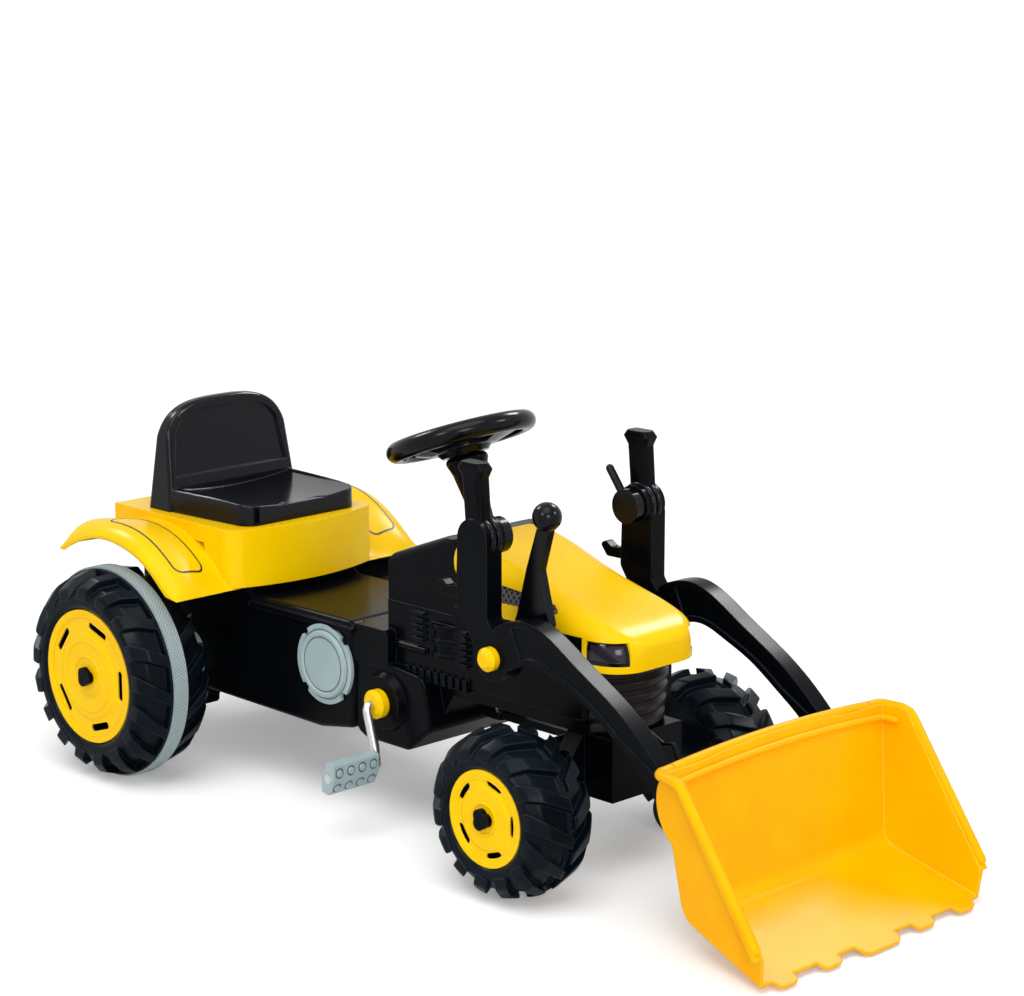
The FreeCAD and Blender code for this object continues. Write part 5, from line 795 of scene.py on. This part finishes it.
def build_drum_rings():
    """Two round ribs about the clamp drum at the head of each loader upright."""
    profile = [(DRUM_RADIUS + rise, share * RIB_HALF_WIDTH) for rise, share in RIB_OUTLINE]
    for side, name in SIDES:
        rings = [spun_ring(profile, (DRUM_MIDDLE[0], side * place, DRUM_MIDDLE[1])) for place in RIB_PLACES]
        add_piece("clamp_drum_ribs_" + name, *merged(rings), wheel_pp, "loader", "black_plastic", smooth=True)


def hub_level(skin, place, radius, side):
    """How far out a hub's face lies at a radius: the middle one of many probes, so that slots don't count."""
    levels = []
    for angle in round_angles(HUB_PROBES):
        start = (place[0] + radius * math.cos(angle), side * BESIDE_ALL, place[2] + radius * math.sin(angle))
        spot = met_first(skin, start, (0, -side, 0))[0]
        if spot is not None:
            levels.append(side * spot.y)
    return sorted(levels)[len(levels) // 2]


def build_hub_rings():
    """Raised rings moulded round the face of each wheel hub."""
    for name, body, place, radii in HUB_RINGS:
        skin = skin_of(name)
        side = 1 if place[1] > 0 else -1
        rings = []
        for radius in radii:
            level = hub_level(skin, place, radius, side)
            profile = [(radius + HUB_RING_HALF_WIDTH * math.cos(angle),
                        side * (level + HUB_RING_RISE * math.sin(angle)))
                       for angle in round_angles(HUB_RING_SECTION)]
            rings.append(spun_ring(profile, (place[0], 0.0, place[2]), LARGE_ROUND))
        add_piece(name + "_rings", *merged(rings), yellow_pe, body, "yellow_plastic", smooth=True)


def build_pedal_shade_rings():
    """Dark rings of painted shade round the grip studs on both faces of each pedal."""
    across = Vector((math.cos(PEDAL_LEAN), 0, -math.sin(PEDAL_LEAN)))
    out = Vector((math.sin(PEDAL_LEAN), 0, math.cos(PEDAL_LEAN)))
    for name, centre in PEDAL_CENTRES:
        skin = skin_of(name)
        rings = []
        for facing in (out, -out):
            for row in STUD_ROWS:
                for step in STUD_STEPS:
                    middle = Vector(centre) + across * row + Vector((0, step, 0))
                    rings.append(seated_ring(skin, middle, facing, STUD_SHADE, STUD_ROUND))
        add_piece(name + "_stud_shade_rings", *merged(rings), painted_groove_shade, name, "grey_plastic")


def build_cover_shade_lines():
    """Dark lines of painted shade in the two grooves of each round side cover."""
    skin = skin_of("side_covers")
    for side, name in SIDES:
        middle = Vector((COVER_MIDDLE[0], side * COVER_MIDDLE[1], COVER_MIDDLE[2]))
        rings = [seated_ring(skin, middle, Vector((0, side, 0)), radii, LARGE_ROUND) for radii in COVER_SHADE_LINES]
        add_piece("side_cover_shade_lines_" + name, *merged(rings), painted_groove_shade, "chassis", "grey_plastic")


build_gauges()
build_wing_panels()
build_lens_rims()
build_dash_knob()
build_bucket_beads()
build_drum_rings()
build_hub_rings()
build_pedal_shade_rings()
build_cover_shade_lines()


# Studio

def build_floor(scene):
    """Endless white paper that keeps the tractor's shadow."""
    mesh = bpy.data.meshes.new("studio_floor")
    half = FLOOR_SIZE / 2
    mesh.from_pydata([(-half, -half, 0), (half, -half, 0), (half, half, 0), (-half, half, 0)], [],
                     [(0, 1, 2, 3)])
    floor = bpy.data.objects.new("studio_floor", mesh)
    scene.collection.objects.link(floor)
    material, tree = new_material("white_paper_sweep")
    paper = node(tree, "ShaderNodeBsdfDiffuse", {"Color": linear("#f6f6f6")}).outputs["BSDF"]
    lift = node(tree, "ShaderNodeEmission", {"Strength": FLOOR_LIFT}).outputs["Emission"]
    both = node(tree, "ShaderNodeAddShader", links={0: paper, 1: lift}).outputs["Shader"]
    seen = node(tree, "ShaderNodeLightPath").outputs["Is Camera Ray"]
    shown = node(tree, "ShaderNodeMixShader", links={0: seen, 1: paper, 2: both}).outputs["Shader"]
    node(tree, "ShaderNodeOutputMaterial", links={"Surface": shown})
    mesh.materials.append(material)


def aimed(way):
    """Rotation that points a lamp or a camera along a way."""
    return Vector(way).to_track_quat("-Z", "Y").to_euler()


def build_lights(scene):
    """Overhead light with a broad soft shadow, a fill by the camera, and softboxes that only show as gloss."""
    light = bpy.data.lights.new("overhead_light", "SUN")
    light.energy = OVERHEAD_POWER
    light.angle = math.radians(OVERHEAD_SPREAD)
    lamp = bpy.data.objects.new("overhead_light", light)
    lamp.rotation_euler = aimed(OVERHEAD_AIM)
    scene.collection.objects.link(lamp)
    for name, place, size, power in SOFTBOXES + (FILL,):
        light = bpy.data.lights.new(name, "AREA")
        light.energy = power
        light.size = size
        lamp = bpy.data.objects.new(name, light)
        lamp.location = place
        lamp.rotation_euler = aimed(Vector(LAMP_AIM) - Vector(place))
        lamp.visible_diffuse = name == FILL[0]
        scene.collection.objects.link(lamp)


def build_room(scene):
    """White room: soft light on the tractor, plain white to the camera, in gloss and through lenses."""
    world = bpy.data.worlds.new("white_room")
    world.use_nodes = True
    tree = world.node_tree
    tree.nodes.clear()
    soft, white = [node(tree, "ShaderNodeBackground", {"Color": linear("#ffffff"), "Strength": strength})
                   for strength in (ROOM_LIGHT, 1.0)]
    path = node(tree, "ShaderNodeLightPath").outputs
    seen = node(tree, "ShaderNodeMath", links={0: path["Is Camera Ray"], 1: path["Is Glossy Ray"]},
                operation="ADD")
    seen = node(tree, "ShaderNodeMath", links={0: seen.outputs["Value"], 1: path["Is Transmission Ray"]},
                operation="ADD", use_clamp=True)
    shown = node(tree, "ShaderNodeMixShader", links={0: seen.outputs["Value"], 1: soft.outputs["Background"],
                                                     2: white.outputs["Background"]})
    node(tree, "ShaderNodeOutputWorld", links={"Surface": shown.outputs["Shader"]})
    scene.world = world


def build_camera(scene):
    """Camera at the photograph's place."""
    lens = bpy.data.cameras.new("photograph_view")
    lens.lens = CAMERA_LENS
    lens.sensor_width = SENSOR_WIDTH
    lens.clip_end = CAMERA_FAR
    camera = bpy.data.objects.new("photograph_view", lens)
    camera.location = CAMERA_PLACE
    camera.rotation_euler = aimed(Vector(CAMERA_AIM) - Vector(CAMERA_PLACE))
    scene.collection.objects.link(camera)
    scene.camera = camera


stage_scene = bpy.context.scene
stage_scene.view_settings.view_transform = "Standard"
build_floor(stage_scene)
build_lights(stage_scene)
build_room(stage_scene)
build_camera(stage_scene)
